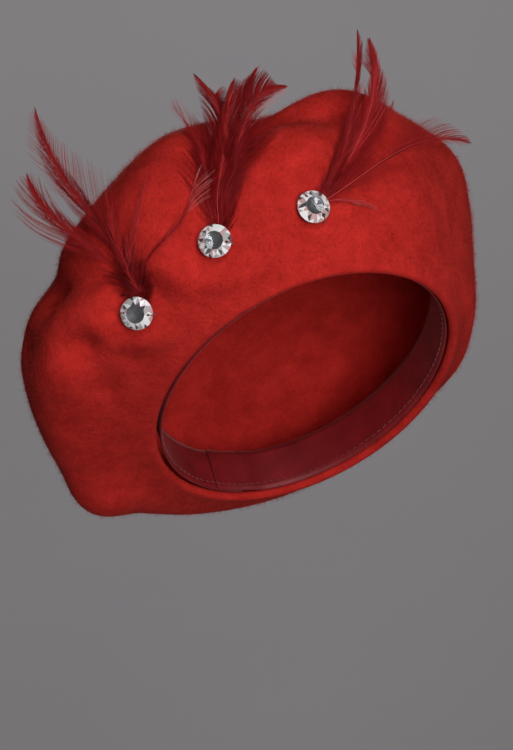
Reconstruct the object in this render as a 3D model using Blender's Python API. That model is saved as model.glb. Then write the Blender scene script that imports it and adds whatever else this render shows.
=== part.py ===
"""Red wool-felt beret with three sewn-on crystals and dyed feathers.

Worn pose, +Z up, -Y the way the wearer faces, +X to the left hand of the wearer.
The origin is the middle of the head opening.  Sizes are millimetres until a mesh is made.
"""
import math

import bmesh
import bpy
import numpy as np
from mathutils import Matrix

MM = 0.001

# How the hat sits: the way the crown points, and how far the head is turned
CROWN_UP = (-0.27, 0.55, 0.79)
HEAD_TURN = math.radians(25.7)

# Sections of the hat from the opening to the middle of the top.
# middle to the right, middle to the front, height, half width, half length,
# rise at the right, rise at the front
SECTIONS = (
    (0, 0, 1, 77, 96, 0, 0),
    (-4, -2, 11, 92, 104, 3, 4),
    (-15, -12, 16, 115, 121, 8, 12),
    (-9, -3, 70, 127, 124, 12, 5),
    (8, -2, 103, 104, 102, 0, 17),
    (-4, 2, 122, 53, 46, 2, 8),
    (0, 6, 122, 0, 0, 0, 0),
)

# Soft swells of the felt: azimuth from the front (right hand positive), place on the
# way from the edge (0) to the top (1), radius, height
SWELLS = (
    (-90, 0.29, 20, 4.0),
    (-46, 0.46, 26, 5.0),
    (-9, 0.42, 20, 4.5),
    (6, 0.64, 24, 5.0),
    (-144, 0.23, 21, 10.0),
    (24, 0.30, 26, 3.0),
    (62, 0.12, 26, 3.5),
    (-42, 0.62, 24, 4.0),
    (-105, 0.52, 20, 4.0),
    (84, 0.14, 24, 3.5),
    (45, 0.56, 18, 2.5),
)
# Folds: from (azimuth, place) to (azimuth, place), half width, depth
FOLDS = (
    (-59, 0.27, -60, 0.36, 11, 6.0),
    (-60, 0.36, -84, 0.49, 13, 8.5),
    (-34, 0.30, -30, 0.48, 11, 10.0),
    (-30, 0.48, -26, 0.60, 14, 6.0),
    (-26, 0.60, -13, 0.75, 18, 8.0),
    (-4, 0.29, 12, 0.42, 12, 5.0),
    (-2, 0.56, -22, 0.60, 13, 7.0),
    (-101, 0.48, -80, 0.24, 9, 4.5),
    (-80, 0.24, -92, 0.13, 9, 3.0),
    (150, 0.50, 176, 0.72, 20, 4.0),
    (95, 0.45, 70, 0.70, 18, 3.0),
    (-84, 0.49, -90, 0.60, 12, 3.5),
)

# Stones: azimuth, place, turn to the right, tip upwards, roll of the two holes
STONES = (
    (-64, 0.175, -12, -10, -5),
    (-36, 0.22, -10, 6, -6),
    (-10, 0.225, 16, 14, -52),
)
SEAT_FLAT = 11.0
SEAT_BLEND = 27.0
SEAT_DEPTH = 3.0

FELT = 2.5
HEM = 5.0
HEM_DEPTH = 12.0
HEM_FADE = 6.0

BAND_WIDTH = 25.0
BAND_THICK = 1.0
BAND_LAP = 0.22
GAP = 0.3
BAND_RISE = 3.0
SEAM_THREAD = 0.4

STONE_R = 8.0
STONE_TABLE_R = 4.5
STONE_BREAK_R = 6.6
STONE_THICK = 4.4
STONE_GIRDLE = 1.0
STONE_BREAK_HIGH = 2.7
STONE_SIDES = 16
CUTTER_SIDES = 8
HOLE_R = 0.65
HOLE_OUT = 5.9
FOIL_R = 7.6
FOIL_THICK = 0.3
THREAD_R = 0.28
NEEDLE_R = 0.62
NEEDLE_OUT = 9.0
PATCH_R = 10.2
PATCH_THICK = 1.2

QUILL_R = 0.3
QUILL_PITCH = 1.05
QUILL_BACK = 3.5
COLLAR_FROM = -1.5
COLLAR_LONG = 4.0
COLLAR_WALL = 0.3
COLLAR_SIDES = 16
QUILL_ROOM = 0.25
HELD_STATIONS = 3
FREE_STATIONS = 16
VANE_HALF_THICK = 0.22
VANE_START = 0.27
VANE_GROWTH = 0.28
VANE_FADE = 0.40
VANE_SIDES = 6

QUILL_HIGH = GAP + COLLAR_WALL + QUILL_ROOM + QUILL_R
FOIL_LOW = 2 * QUILL_HIGH
STONE_LOW = FOIL_LOW + FOIL_THICK + GAP

# Feathers of each stone, in order across the collar: tip from the stone (x, y, z),
# heading of the tip (x, y, z), half width, height over the felt
FEATHERS = (
    (
        (-54, 4, 66, -0.15, 0.1, 1.0, 3.4, 3.0),
        (-50, 5, 98, -0.1, 0.1, 1.0, 3.0, 1.7),
        (-16, 0, 57, -0.5, 0.2, 0.8, 2.2, 4.3),
        (8, 0, 57, 0.1, 0.2, 0.9, 2.6, 3.0),
        (25, -4, 59, 0.5, 0.2, 0.8, 2.2, 1.7),
    ),
    (
        (-21, 30, 67, -0.6, 0.3, 0.7, 2.2, 3.6),
        (-12, 36, 84, -0.8, 0.2, 0.5, 2.6, 1.8),
        (7, 26, 79, 0.2, 0.2, 0.9, 2.2, 4.8),
        (19, 37, 87, 0.5, 0.1, 0.8, 2.8, 1.8),
        (34, 30, 77, 0.9, 0.2, -0.1, 2.8, 3.6),
    ),
    (
        (23, 28, 89, -0.05, 0.1, 1.0, 3.2, 3.0),
        (29, 36, 86, -0.35, 0.1, 1.0, 2.6, 1.7),
        (41, 36, 56, 0.2, 0.4, 0.9, 3.0, 4.3),
        (78, 26, 34, 1.0, 0.2, -0.5, 3.2, 3.0),
        (28, 10, 1, 0.9, 0.4, -0.3, 2.2, 1.7),
    ),
)

COLOURS = {
    "felt": (0.43, 0.012, 0.012, 1.0),
    "ribbon": (0.22, 0.008, 0.012, 1.0),
    "thread": (0.36, 0.010, 0.014, 1.0),
    "crystal": (0.93, 0.94, 0.95, 1.0),
    "foil": (0.72, 0.72, 0.74, 1.0),
    "feather": (0.24, 0.006, 0.016, 1.0),
    "collar": (0.18, 0.006, 0.010, 1.0),
}

# Grid of the felt, finer where the stones and folds are
FRONT_FROM, FRONT_TO, FRONT_COUNT = -105, 30, 40
BACK_COUNT = 22
EDGE_PLACES = (0.0, 0.025, 0.07)
STONE_PLACES = (0.11, 0.40, 11)
TOP_COUNT = 9


def unit(vector):
    vector = np.asarray(vector, float)
    length = np.linalg.norm(vector, axis=-1, keepdims=True)
    return vector / np.maximum(length, 1e-12)


def opening_frame():
    """Right, front and up directions of the head opening."""
    up = unit(CROWN_UP)
    right = np.array((math.cos(HEAD_TURN), math.sin(HEAD_TURN), 0.0))
    right = unit(right - right @ up * up)
    return right, np.cross(right, up), up


def spline_weights(along, count, degree=3):
    """Weights of a clamped uniform B-spline, one row for each place."""
    inner = np.linspace(0, 1, count - degree + 1)
    knots = np.concatenate([np.zeros(degree), inner, np.ones(degree)])
    place = np.clip(np.asarray(along, float), 0, 1 - 1e-9)[:, None]
    weights = ((place >= knots[:-1]) & (place < knots[1:])).astype(float)
    for order in range(1, degree + 1):
        size = weights.shape[1] - 1
        left = knots[order:order + size] - knots[:size]
        right = knots[order + 1:order + 1 + size] - knots[1:1 + size]
        rising = (place - knots[:size]) / np.where(left > 0, left, 1) * (left > 0)
        falling = (knots[order + 1:order + 1 + size] - place) / np.where(right > 0, right, 1)
        falling = falling * (right > 0)
        weights = rising * weights[:, :size] + falling * weights[:, 1:size + 1]
    return weights


def smooth_shape(azimuth, along):
    """The hat before folds: azimuth and place arrays of one shape give points."""
    right, front, up = opening_frame()
    weights = spline_weights(np.ravel(along), len(SECTIONS))
    mix = weights @ np.array(SECTIONS, float)
    angle = np.ravel(azimuth)
    side, ahead = np.sin(angle), np.cos(angle)
    x = mix[:, 0] + mix[:, 3] * side
    y = mix[:, 1] + mix[:, 4] * ahead
    z = mix[:, 2] + mix[:, 5] * side + mix[:, 6] * ahead
    points = x[:, None] * right + y[:, None] * front + z[:, None] * up
    return points.reshape(np.shape(azimuth) + (3,))


def normals_of(shape, azimuth, along):
    """Outward normals of a surface function."""
    step = 0.004
    low = np.clip(along - step, 0, 0.985)
    high = np.clip(along + step, low + step, 0.995)
    around = shape(azimuth + step, np.minimum(along, 0.99)) - shape(azimuth - step, np.minimum(along, 0.99))
    upward = shape(azimuth, high) - shape(azimuth, low)
    return unit(np.cross(around, upward))


def spot(azimuth_degrees, place):
    """Point and normal of the smooth hat at one spot."""
    azimuth = np.array([math.radians(azimuth_degrees)])
    along = np.array([float(place)])
    return smooth_shape(azimuth, along)[0], normals_of(smooth_shape, azimuth, along)[0]


def distance_to_segment(points, start, end):
    line = end - start
    share = np.clip((points - start) @ line / max(line @ line, 1e-9), 0, 1)
    return np.linalg.norm(points - start - share[..., None] * line, axis=-1)


def folded_shape(azimuth, along):
    """The hat with its swells and folds."""
    points = smooth_shape(azimuth, along)
    normals = normals_of(smooth_shape, azimuth, along)
    shift = np.zeros(points.shape[:-1])
    for angle, place, radius, height in SWELLS:
        middle = spot(angle, place)[0]
        away = np.linalg.norm(points - middle, axis=-1)
        shift += height * np.exp(-(away / radius) ** 2)
    for from_angle, from_place, to_angle, to_place, half_width, depth in FOLDS:
        start, end = spot(from_angle, from_place)[0], spot(to_angle, to_place)[0]
        away = distance_to_segment(points, start, end)
        shift -= depth * np.exp(-(away / half_width) ** 2)
    edge_hold = np.clip(np.asarray(along, float) / 0.10, 0, 1) ** 2
    return points + normals * (shift * edge_hold)[..., None]


def seats():
    """Middle of each stone's seat on the felt, with its hole, quill and outward axes."""
    found = []
    for angle, place, turn, tip, roll in STONES:
        middle = folded_shape(np.array([math.radians(angle)]), np.array([place]))[0]
        turn, tip, roll = (math.radians(value) for value in (turn, tip, roll))
        outward = np.array((math.sin(turn) * math.cos(tip), -math.cos(turn) * math.cos(tip), math.sin(tip)))
        level = np.array((math.cos(turn), math.sin(turn), 0.0))
        rise = np.cross(outward, level)
        holes = level * math.cos(roll) + rise * math.sin(roll)
        quills = np.cross(outward, holes)
        found.append((middle - outward * SEAT_DEPTH, np.stack([holes, quills, outward], axis=1)))
    return found


def felt_shape(azimuth, along):
    """Outside of the felt, drawn in flat under each stone."""
    points = folded_shape(azimuth, along)
    for middle, axes in seats():
        normal = axes[:, 2]
        away = np.linalg.norm(points - middle, axis=-1)
        blend = np.clip((SEAT_BLEND - away) / (SEAT_BLEND - SEAT_FLAT), 0, 1)
        blend = blend * blend * (3 - 2 * blend)
        height = (points - middle) @ normal
        points = points - normal * (height * blend)[..., None]
    return points


def sample_felt(azimuth, along):
    azimuth, along = np.meshgrid(azimuth, along)
    return felt_shape(azimuth, along), normals_of(felt_shape, azimuth, along)


def material(kind, roughness, metallic=0.0, transmission=0.0):
    made = bpy.data.materials.new(kind)
    made.use_nodes = True
    shader = made.node_tree.nodes["Principled BSDF"]
    shader.inputs["Base Color"].default_value = COLOURS[kind.split("_")[0]]
    shader.inputs["Roughness"].default_value = roughness
    shader.inputs["Metallic"].default_value = metallic
    shader.inputs["Transmission Weight"].default_value = transmission
    made.diffuse_color = COLOURS[kind.split("_")[0]]
    return made


def add_object(name, points, faces, surface, smooth=True, parent=None):
    """One mesh object from millimetre points, its faces turned outward."""
    mesh = bpy.data.meshes.new(name)
    mesh.from_pydata((np.asarray(points, float) * MM).tolist(), [], faces)
    shell = bmesh.new()
    shell.from_mesh(mesh)
    bmesh.ops.recalc_face_normals(shell, faces=shell.faces)
    shell.to_mesh(mesh)
    shell.free()
    mesh.polygons.foreach_set("use_smooth", [smooth] * len(mesh.polygons))
    mesh.materials.append(surface)
    made = bpy.data.objects.new(name, mesh)
    made.parent = parent
    bpy.context.scene.collection.objects.link(made)
    return made


def strip_faces(rows, columns, wrap_rows=False):
    """Quads of a grid whose columns close on themselves."""
    faces = []
    for row in range(rows if wrap_rows else rows - 1):
        below, above = row * columns, (row + 1) % rows * columns
        for column in range(columns):
            following = (column + 1) % columns
            faces.append((below + column, below + following, above + following, above + column))
    return faces


def loft(name, rings, surface, closed=False, smooth=True, parent=None):
    """Skin over rings of equal size, capped or closed on itself."""
    rings = np.asarray(rings, float)
    count, columns = rings.shape[:2]
    faces = strip_faces(count, columns, closed)
    if not closed:
        faces.append(tuple(range(columns)))
        faces.append(tuple(range((count - 1) * columns, count * columns)))
    return add_object(name, rings.reshape(-1, 3), faces, surface, smooth, parent)


def closed_tube(name, path, radius, sides, surface, parent=None):
    """Round thread along a closed path, with its twist spread over the length."""
    path = np.asarray(path, float)
    tangents = unit(np.roll(path, -1, 0) - np.roll(path, 1, 0))
    across = [unit(np.cross(tangents[0], (0.3, 0.2, 0.9)))]
    for tangent in tangents[1:]:
        across.append(unit(across[-1] - across[-1] @ tangent * tangent))
    across = np.array(across)
    other = np.cross(tangents, across)
    last = unit(across[-1] - across[-1] @ tangents[0] * tangents[0])
    turn = math.atan2(last @ other[0], last @ across[0])
    share = -turn * np.arange(len(path)) / len(path)
    angles = np.linspace(0, 2 * math.pi, sides, endpoint=False)[None, :] + share[:, None]
    rings = path[:, None] + radius * (
        np.cos(angles)[..., None] * across[:, None] + np.sin(angles)[..., None] * other[:, None]
    )
    return loft(name, rings, surface, closed=True, parent=parent)


def arc_from_edge(points):
    steps = np.linalg.norm(np.diff(points, axis=0), axis=-1)
    return np.concatenate([np.zeros((1, points.shape[1])), np.cumsum(steps, axis=0)])


def felt_azimuths():
    """Azimuths round the hat, closer together where the stones are."""
    front = np.linspace(FRONT_FROM, FRONT_TO, FRONT_COUNT)
    back = np.linspace(FRONT_TO, FRONT_FROM + 360, BACK_COUNT + 2)[1:-1]
    return np.radians(np.concatenate([front, back]))


def felt_places():
    """Places along the hat, closer together from the hem to the folds."""
    stones = np.linspace(*STONE_PLACES)
    top = np.linspace(stones[-1], 1, TOP_COUNT)[1:-1]
    return np.concatenate([EDGE_PLACES, stones, top])


def build_felt(surface):
    outer, normals = sample_felt(felt_azimuths(), felt_places())
    arc = arc_from_edge(outer)
    fade = np.clip((HEM_DEPTH + HEM_FADE - arc) / HEM_FADE, 0, 1)
    thick = FELT + (HEM - FELT) * fade * fade * (3 - 2 * fade)
    inner = outer - normals * thick[..., None]
    along = unit(outer[1] - outer[0])
    across = normals[0]
    lip_middle = outer[0] - across * HEM / 2
    lip = []
    for angle in np.linspace(0, math.pi, 7)[1:-1]:
        reach = across * math.cos(angle) - along * math.sin(angle)
        lip.append(lip_middle + reach * HEM / 2)
    rows = list(inner[::-1]) + lip[::-1] + list(outer)
    columns = outer.shape[1]
    points = np.concatenate(rows)
    faces = strip_faces(len(rows), columns)
    top, top_normal = spot_on_top()
    points = np.concatenate([points, [top - top_normal * FELT, top]])
    last = (len(rows) - 1) * columns
    for column in range(columns):
        following = (column + 1) % columns
        faces.append((following, column, len(points) - 2))
        faces.append((last + column, last + following, len(points) - 1))
    body = add_object("felt_body", points, faces, surface)
    spots = []
    for middle, axes in seats():
        spots += [(middle + axes[:, 0] * out, axes) for out in needle_reach()]
    pierce(body, spots, NEEDLE_R, 7.0)
    return body


def spot_on_top():
    azimuth = np.zeros(1)
    top = felt_shape(azimuth, np.array([1.0]))[0]
    ring = felt_shape(np.linspace(0, 2 * math.pi, 12, endpoint=False), np.full(12, 0.96))
    normal = unit(np.cross(ring[3] - ring[9], ring[6] - ring[0]))
    return top, normal if normal @ np.array(CROWN_UP) > 0 else -normal


def needle_reach():
    """Where the four needle holes of a stone lie along its hole axis."""
    return -NEEDLE_OUT, -HOLE_OUT, HOLE_OUT, NEEDLE_OUT


def pierce(body, spots, radius, depth):
    """Cut round holes through a body with one joined cutter."""
    points, faces = [], []
    for middle, axes in spots:
        base = len(points)
        for end in (-depth, depth):
            for side in range(CUTTER_SIDES):
                angle = 2 * math.pi * side / CUTTER_SIDES
                local = np.array((radius * math.cos(angle), radius * math.sin(angle), end))
                points.append(middle + axes @ local)
        faces += [tuple(base + index for index in face) for face in strip_faces(2, CUTTER_SIDES)]
        faces.append(tuple(range(base, base + CUTTER_SIDES)))
        faces.append(tuple(range(base + CUTTER_SIDES, base + 2 * CUTTER_SIDES)))
    surface = body.data.materials[0]
    cutter = add_object(body.name + "_holes", points, faces, surface, smooth=False, parent=body.parent)
    cutter.hide_render = True
    cutter.hide_set(True)
    cutter.display_type = "WIRE"
    cut = body.modifiers.new("holes", "BOOLEAN")
    cut.operation = "DIFFERENCE"
    cut.solver = "EXACT"
    cut.object = cutter


def band_path(samples, inset):
    """Ellipse standing just inside the hem, wound a little past one turn."""
    right, front, _ = opening_frame()
    angles = np.linspace(math.pi, 3 * math.pi + BAND_LAP, samples)
    tuck = lap_tuck(angles)
    half_width = SECTIONS[0][3] - HEM - GAP - inset - tuck
    half_length = SECTIONS[0][4] - HEM - GAP - inset - tuck
    return (
        (half_width * np.sin(angles))[:, None] * right + (half_length * np.cos(angles))[:, None] * front
    )


def lap_tuck(angles):
    """How far the far end of the ribbon steps inside its beginning."""
    step = np.clip((angles - (3 * math.pi - 0.20)) / 0.16, 0, 1)
    return (BAND_THICK + GAP + 0.1) * step * step * (3 - 2 * step)


def build_sweatband(surface):
    up = opening_frame()[2]
    outer, inner = band_path(64, 0.0), band_path(64, BAND_THICK)
    low, high = up * BAND_RISE, up * (BAND_RISE + BAND_WIDTH)
    rings = np.stack([outer + low, outer + high, inner + high, inner + low], axis=1)
    loft("sweatband_ribbon", rings, surface, smooth=False)


def build_seam(surface):
    """Thread that runs round the foot of the ribbon."""
    right, front, up = opening_frame()
    angles = np.linspace(math.pi, 3 * math.pi, 64, endpoint=False)
    lap_near = np.minimum(np.abs(angles - math.pi), np.abs(angles - 3 * math.pi))
    tuck = (BAND_THICK + GAP + 0.1) * np.clip((0.42 - lap_near) / 0.16, 0, 1)
    inset = HEM + GAP + BAND_THICK + GAP + SEAM_THREAD + tuck
    path = (
        ((SECTIONS[0][3] - inset) * np.sin(angles))[:, None] * right
        + ((SECTIONS[0][4] - inset) * np.cos(angles))[:, None] * front
        + up * (BAND_RISE + 3.0)
    )
    closed_tube("sweatband_seam", path, SEAM_THREAD, 5, surface)


def turned(rows, sides, turns=None):
    """Rings about the Z axis from (radius, height) rows."""
    rings = []
    for row, (radius, high) in enumerate(rows):
        turn = turns[row] if turns else 0
        angles = (np.arange(sides) + turn) * 2 * math.pi / sides
        rings.append([(radius * math.cos(a), radius * math.sin(a), high) for a in angles])
    return rings


def straight_through(reaches, high):
    return [(np.array((out, 0.0, high)), np.eye(3)) for out in reaches]


def build_crystal(name, seat, surface):
    """Flat-backed round stone: table, two rows of facets, girdle, two holes."""
    rows = (
        (STONE_R - 0.5, STONE_LOW),
        (STONE_R, STONE_LOW + 0.4),
        (STONE_R, STONE_LOW + STONE_GIRDLE),
        (STONE_BREAK_R, STONE_LOW + STONE_BREAK_HIGH),
        (STONE_TABLE_R, STONE_LOW + STONE_THICK),
    )
    rings = turned(rows, STONE_SIDES, (0, 0, 0, 0.5, 0))
    stone = loft(name, rings, surface, smooth=False, parent=seat)
    pierce(stone, straight_through((-HOLE_OUT, HOLE_OUT), STONE_LOW + 2), HOLE_R, 6.0)


def build_foil(name, seat, surface):
    rows = ((FOIL_R, FOIL_LOW), (FOIL_R, FOIL_LOW + FOIL_THICK))
    disc = loft(name, turned(rows, 28), surface, smooth=False, parent=seat)
    pierce(disc, straight_through((-HOLE_OUT, HOLE_OUT), FOIL_LOW), HOLE_R, 2.0)


def build_patch(name, seat, surface):
    """Felt disc on the inside that carries the stitches."""
    top = -FELT - GAP
    rows = ((PATCH_R, top), (PATCH_R, top - PATCH_THICK))
    disc = loft(name, turned(rows, 28), surface, smooth=False, parent=seat)
    pierce(disc, straight_through(needle_reach(), top), NEEDLE_R, 3.0)


def rounded_corners(corners, radius, steps):
    """Closed polyline with each corner turned into a small arc."""
    path = []
    for index, corner in enumerate(corners):
        before = corner + unit(corners[index - 1] - corner) * radius
        after = corner + unit(corners[(index + 1) % len(corners)] - corner) * radius
        for share in np.linspace(0, 1, steps):
            path.append((1 - share) ** 2 * before + 2 * share * (1 - share) * corner + share ** 2 * after)
    return np.array(path)


def build_stitch(name, seat, surface):
    """One thread: down both holes, back over the girdle, tied under the patch."""
    over = STONE_LOW + STONE_BREAK_HIGH + 1.1
    under = -FELT - 2 * GAP - PATCH_THICK - THREAD_R
    corners = np.array([
        (-NEEDLE_OUT, 0, under),
        (-NEEDLE_OUT, 0, over),
        (-HOLE_OUT, 0, over),
        (-HOLE_OUT, 0, under),
        (HOLE_OUT, 0, under),
        (HOLE_OUT, 0, over),
        (NEEDLE_OUT, 0, over),
        (NEEDLE_OUT, 0, under),
        (NEEDLE_OUT, 2.2, under - 0.8),
        (-NEEDLE_OUT, 2.2, under - 0.8),
    ])
    path = rounded_corners(corners, 0.7, 3)
    closed_tube(name, path, THREAD_R, 6, surface, parent=seat)


def build_collar(name, seat, count, surface):
    """Flat winding that holds the quills side by side."""
    half_high = QUILL_R + QUILL_ROOM
    half_straight = (count - 1) / 2 * QUILL_PITCH
    rings = []
    for forward, grow in ((0, 0), (0, COLLAR_WALL), (COLLAR_LONG, COLLAR_WALL), (COLLAR_LONG, 0)):
        ring = []
        for step in range(COLLAR_SIDES):
            angle = 2 * math.pi * (step + 0.5) / COLLAR_SIDES
            across = math.copysign(half_straight, math.cos(angle)) + (half_high + grow) * math.cos(angle)
            high = QUILL_HIGH + (half_high + grow) * math.sin(angle)
            ring.append((across, COLLAR_FROM + forward, high))
        rings.append(ring)
    loft(name, rings, surface, closed=True, smooth=False, parent=seat)


def bezier(points, count):
    share = np.linspace(0, 1, count)[:, None]
    a, b, c, d = points
    back = 1 - share
    return back ** 3 * a + 3 * back ** 2 * share * b + 3 * back * share ** 2 * c + share ** 3 * d


def feather_path(seat, index, row, felt_points, felt_normals):
    """Middle line of one feather and the felt's outward direction along it."""
    middle, axes = seat
    tip = middle + np.array(row[:3], float)
    heading = unit(row[3:6])
    across = (index - 2) * QUILL_PITCH
    base = middle + axes @ np.array((across, -QUILL_BACK, QUILL_HIGH))
    leave = middle + axes @ np.array((across, STONE_R + 1.5, QUILL_HIGH))
    reach = np.linalg.norm(tip - leave)
    start = unit(axes[:, 1] + unit(tip - leave))
    free = bezier((leave, leave + start * reach * 0.30, tip - heading * reach * 0.36, tip), FREE_STATIONS)
    path = np.concatenate([np.linspace(base, leave, HELD_STATIONS + 1)[:-1], free])
    rise = row[7] * np.clip(np.linspace(0, 1, FREE_STATIONS) / 0.14, 0, 1)
    wanted = np.concatenate([np.zeros(HELD_STATIONS), rise])
    for _ in range(6):
        nearest = np.linalg.norm(path[:, None] - felt_points[None], axis=-1).argmin(1)
        normal = felt_normals[nearest]
        height = np.einsum("ij,ij->i", path - felt_points[nearest], normal)
        need = np.clip(wanted - height, 0, None)
        need[:HELD_STATIONS] = 0
        path = path + normal * need[:, None]
        path[4:-1] = (path[3:-2] + 2 * path[4:-1] + path[5:]) / 4
    outward = felt_normals[nearest]
    outward[:HELD_STATIONS + 2] = axes[:, 2]
    for _ in range(4):
        outward[1:-1] = unit(outward[:-2] + 2 * outward[1:-1] + outward[2:])
    return path, outward


def build_feather(name, parent, seat, index, row, felt, surface):
    path, outward = feather_path(seat, index, row, *felt)
    tangents = unit(np.gradient(path, axis=0))
    side = unit(np.cross(tangents, outward))
    lift = np.cross(side, tangents)
    travel = np.linspace(0, 1, len(path))
    grown = np.clip((travel - VANE_START) / VANE_GROWTH, 0, 1)
    fading = np.clip((1 - travel) / VANE_FADE, 0, 1)
    half_wide = QUILL_R + (row[6] - QUILL_R) * grown * grown * (3 - 2 * grown) * fading
    half_high = QUILL_R - (QUILL_R - VANE_HALF_THICK) * travel
    angles = np.linspace(0, 2 * math.pi, VANE_SIDES, endpoint=False)
    wide = half_wide[:, None] * np.cos(angles)
    high = half_high[:, None] * np.sin(angles)
    rings = path[:, None] + wide[..., None] * side[:, None] + high[..., None] * lift[:, None]
    middle, axes = seat
    loft(name, (rings - middle) @ axes, surface, parent=parent)


def clear_scene():
    for old in list(bpy.data.objects):
        bpy.data.objects.remove(old, do_unlink=True)


def seat_empty(number, seat):
    """Empty on a stone's seat: X along its holes, Y along the quills, Z outward."""
    middle, axes = seat
    empty = bpy.data.objects.new(f"stone_seat_{number}", None)
    empty.location = middle * MM
    empty.rotation_euler = Matrix(axes.tolist()).to_euler()
    empty.empty_display_size = 0.01
    bpy.context.scene.collection.objects.link(empty)
    return empty


def build_stone_group(number, seat, felt):
    empty = seat_empty(number, seat)
    build_crystal(f"crystal_{number}", empty, material(f"crystal_{number}", 0.02, transmission=0.9))
    build_foil(f"crystal_foil_{number}", empty, material(f"foil_{number}", 0.15, metallic=1.0))
    build_patch(f"backing_patch_{number}", empty, material(f"felt_patch_{number}", 0.95))
    build_stitch(f"stitch_thread_{number}", empty, material(f"thread_{number}", 0.7))
    rows = FEATHERS[number - 1]
    build_collar(f"feather_collar_{number}", empty, len(rows), material(f"collar_{number}", 0.8))
    for index, row in enumerate(rows):
        name = f"feather_{number}_{'abcde'[index]}"
        build_feather(name, empty, seat, index, row, felt, material(name, 0.6))


def main():
    clear_scene()
    build_felt(material("felt", 0.95))
    build_sweatband(material("ribbon", 0.8))
    build_seam(material("thread_seam", 0.7))
    dense = np.linspace(0, 2 * math.pi, 180, endpoint=False)
    points, normals = sample_felt(dense, np.linspace(0, 0.99, 80))
    felt = points.reshape(-1, 3), normals.reshape(-1, 3)
    for number, seat in enumerate(seats(), start=1):
        build_stone_group(number, seat, felt)


main()
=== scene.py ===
import math

import bmesh
import bpy
import numpy as np
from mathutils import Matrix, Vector, noise
from mathutils.bvhtree import BVHTree


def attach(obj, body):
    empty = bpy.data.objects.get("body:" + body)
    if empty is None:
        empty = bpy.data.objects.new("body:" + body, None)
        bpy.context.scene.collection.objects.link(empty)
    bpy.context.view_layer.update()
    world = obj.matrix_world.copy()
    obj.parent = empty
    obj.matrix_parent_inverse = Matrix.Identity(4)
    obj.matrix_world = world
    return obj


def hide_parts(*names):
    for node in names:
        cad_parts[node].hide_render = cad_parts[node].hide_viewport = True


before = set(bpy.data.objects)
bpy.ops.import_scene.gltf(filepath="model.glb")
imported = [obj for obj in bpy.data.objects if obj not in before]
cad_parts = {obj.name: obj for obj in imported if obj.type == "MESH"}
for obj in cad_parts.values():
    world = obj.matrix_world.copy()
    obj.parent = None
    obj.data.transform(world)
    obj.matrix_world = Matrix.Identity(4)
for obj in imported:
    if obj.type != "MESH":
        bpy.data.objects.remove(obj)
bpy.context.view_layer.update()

MM = 0.001

# ---- the hat's own shape, as in the CAD source (millimetres) ----

CROWN_UP = (-0.27, 0.55, 0.79)
HEAD_TURN = math.radians(25.7)
# Sections from the opening to the middle of the top: middle to the right, middle to the front,
# height, half width, half length, rise at the right, rise at the front
SECTIONS = (
    (0, 0, 1, 77, 96, 0, 0),
    (-4, -2, 11, 92, 104, 3, 4),
    (-15, -12, 16, 115, 121, 8, 12),
    (-9, -3, 70, 127, 124, 12, 5),
    (8, -2, 103, 104, 102, 0, 17),
    (-4, 2, 122, 53, 46, 2, 8),
    (0, 6, 122, 0, 0, 0, 0),
)
# Soft swells: azimuth from the front (right hand positive, degrees), place on the way from the
# edge (0) to the top (1), radius, height
SWELLS = (
    (-90, 0.29, 20, 4),
    (-46, 0.46, 26, 5),
    (-9, 0.42, 20, 4.5),
    (6, 0.64, 24, 5),
    (-144, 0.23, 21, 10),
    (24, 0.30, 26, 3),
    (62, 0.12, 26, 3.5),
    (-42, 0.62, 24, 4),
    (-105, 0.52, 20, 4),
    (84, 0.14, 24, 3.5),
    (45, 0.56, 18, 2.5),
)
# Folds: from (azimuth, place) to (azimuth, place), half width, depth
FOLDS = (
    (-59, 0.27, -60, 0.36, 11, 6),
    (-60, 0.36, -84, 0.49, 13, 8.5),
    (-34, 0.30, -30, 0.48, 11, 10),
    (-30, 0.48, -26, 0.60, 14, 6),
    (-26, 0.60, -13, 0.75, 18, 8),
    (-4, 0.29, 12, 0.42, 12, 5),
    (-2, 0.56, -22, 0.60, 13, 7),
    (-101, 0.48, -80, 0.24, 9, 4.5),
    (-80, 0.24, -92, 0.13, 9, 3),
    (150, 0.50, 176, 0.72, 20, 4),
    (95, 0.45, 70, 0.70, 18, 3),
    (-84, 0.49, -90, 0.60, 12, 3.5),
)
# Stones: azimuth, place, turn to the right, tip upwards, roll of the two holes
STONES = (
    (-64, 0.175, -12, -10, -5),
    (-36, 0.22, -10, 6, -6),
    (-10, 0.225, 16, 14, -52),
)
SEAT_FLAT = 11.0
SEAT_BLEND = 27.0
SEAT_DEPTH = 3.0
FELT = 2.5
HEM = 5.0
HEM_DEPTH = 12.0
HEM_FADE = 6.0
EDGE_HOLD = 0.10              # place up to which the swells and folds are held back
BAND_WIDTH = 25.0
BAND_THICK = 1.0
BAND_LAP = 0.22               # radians by which the ribbon's ends overlap
BAND_RISE = 3.0
GAP = 0.3
LAP_STEP = BAND_THICK + GAP + 0.1
STONE_R = 8.0
FOIL_THICK = 0.3
HOLE_R = 0.65
HOLE_OUT = 5.9
NEEDLE_OUT = 9.0
THREAD_R = 0.28
PATCH_R = 10.2
PATCH_THICK = 1.2
QUILL_R = 0.3
QUILL_PITCH = 1.05
QUILL_BACK = 3.5
COLLAR_FROM = -1.5
COLLAR_LONG = 4.0
COLLAR_WALL = 0.3
QUILL_ROOM = 0.25
QUILL_HIGH = GAP + COLLAR_WALL + QUILL_ROOM + QUILL_R
FOIL_LOW = 2 * QUILL_HIGH
STONE_LOW = FOIL_LOW + FOIL_THICK + GAP

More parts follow.
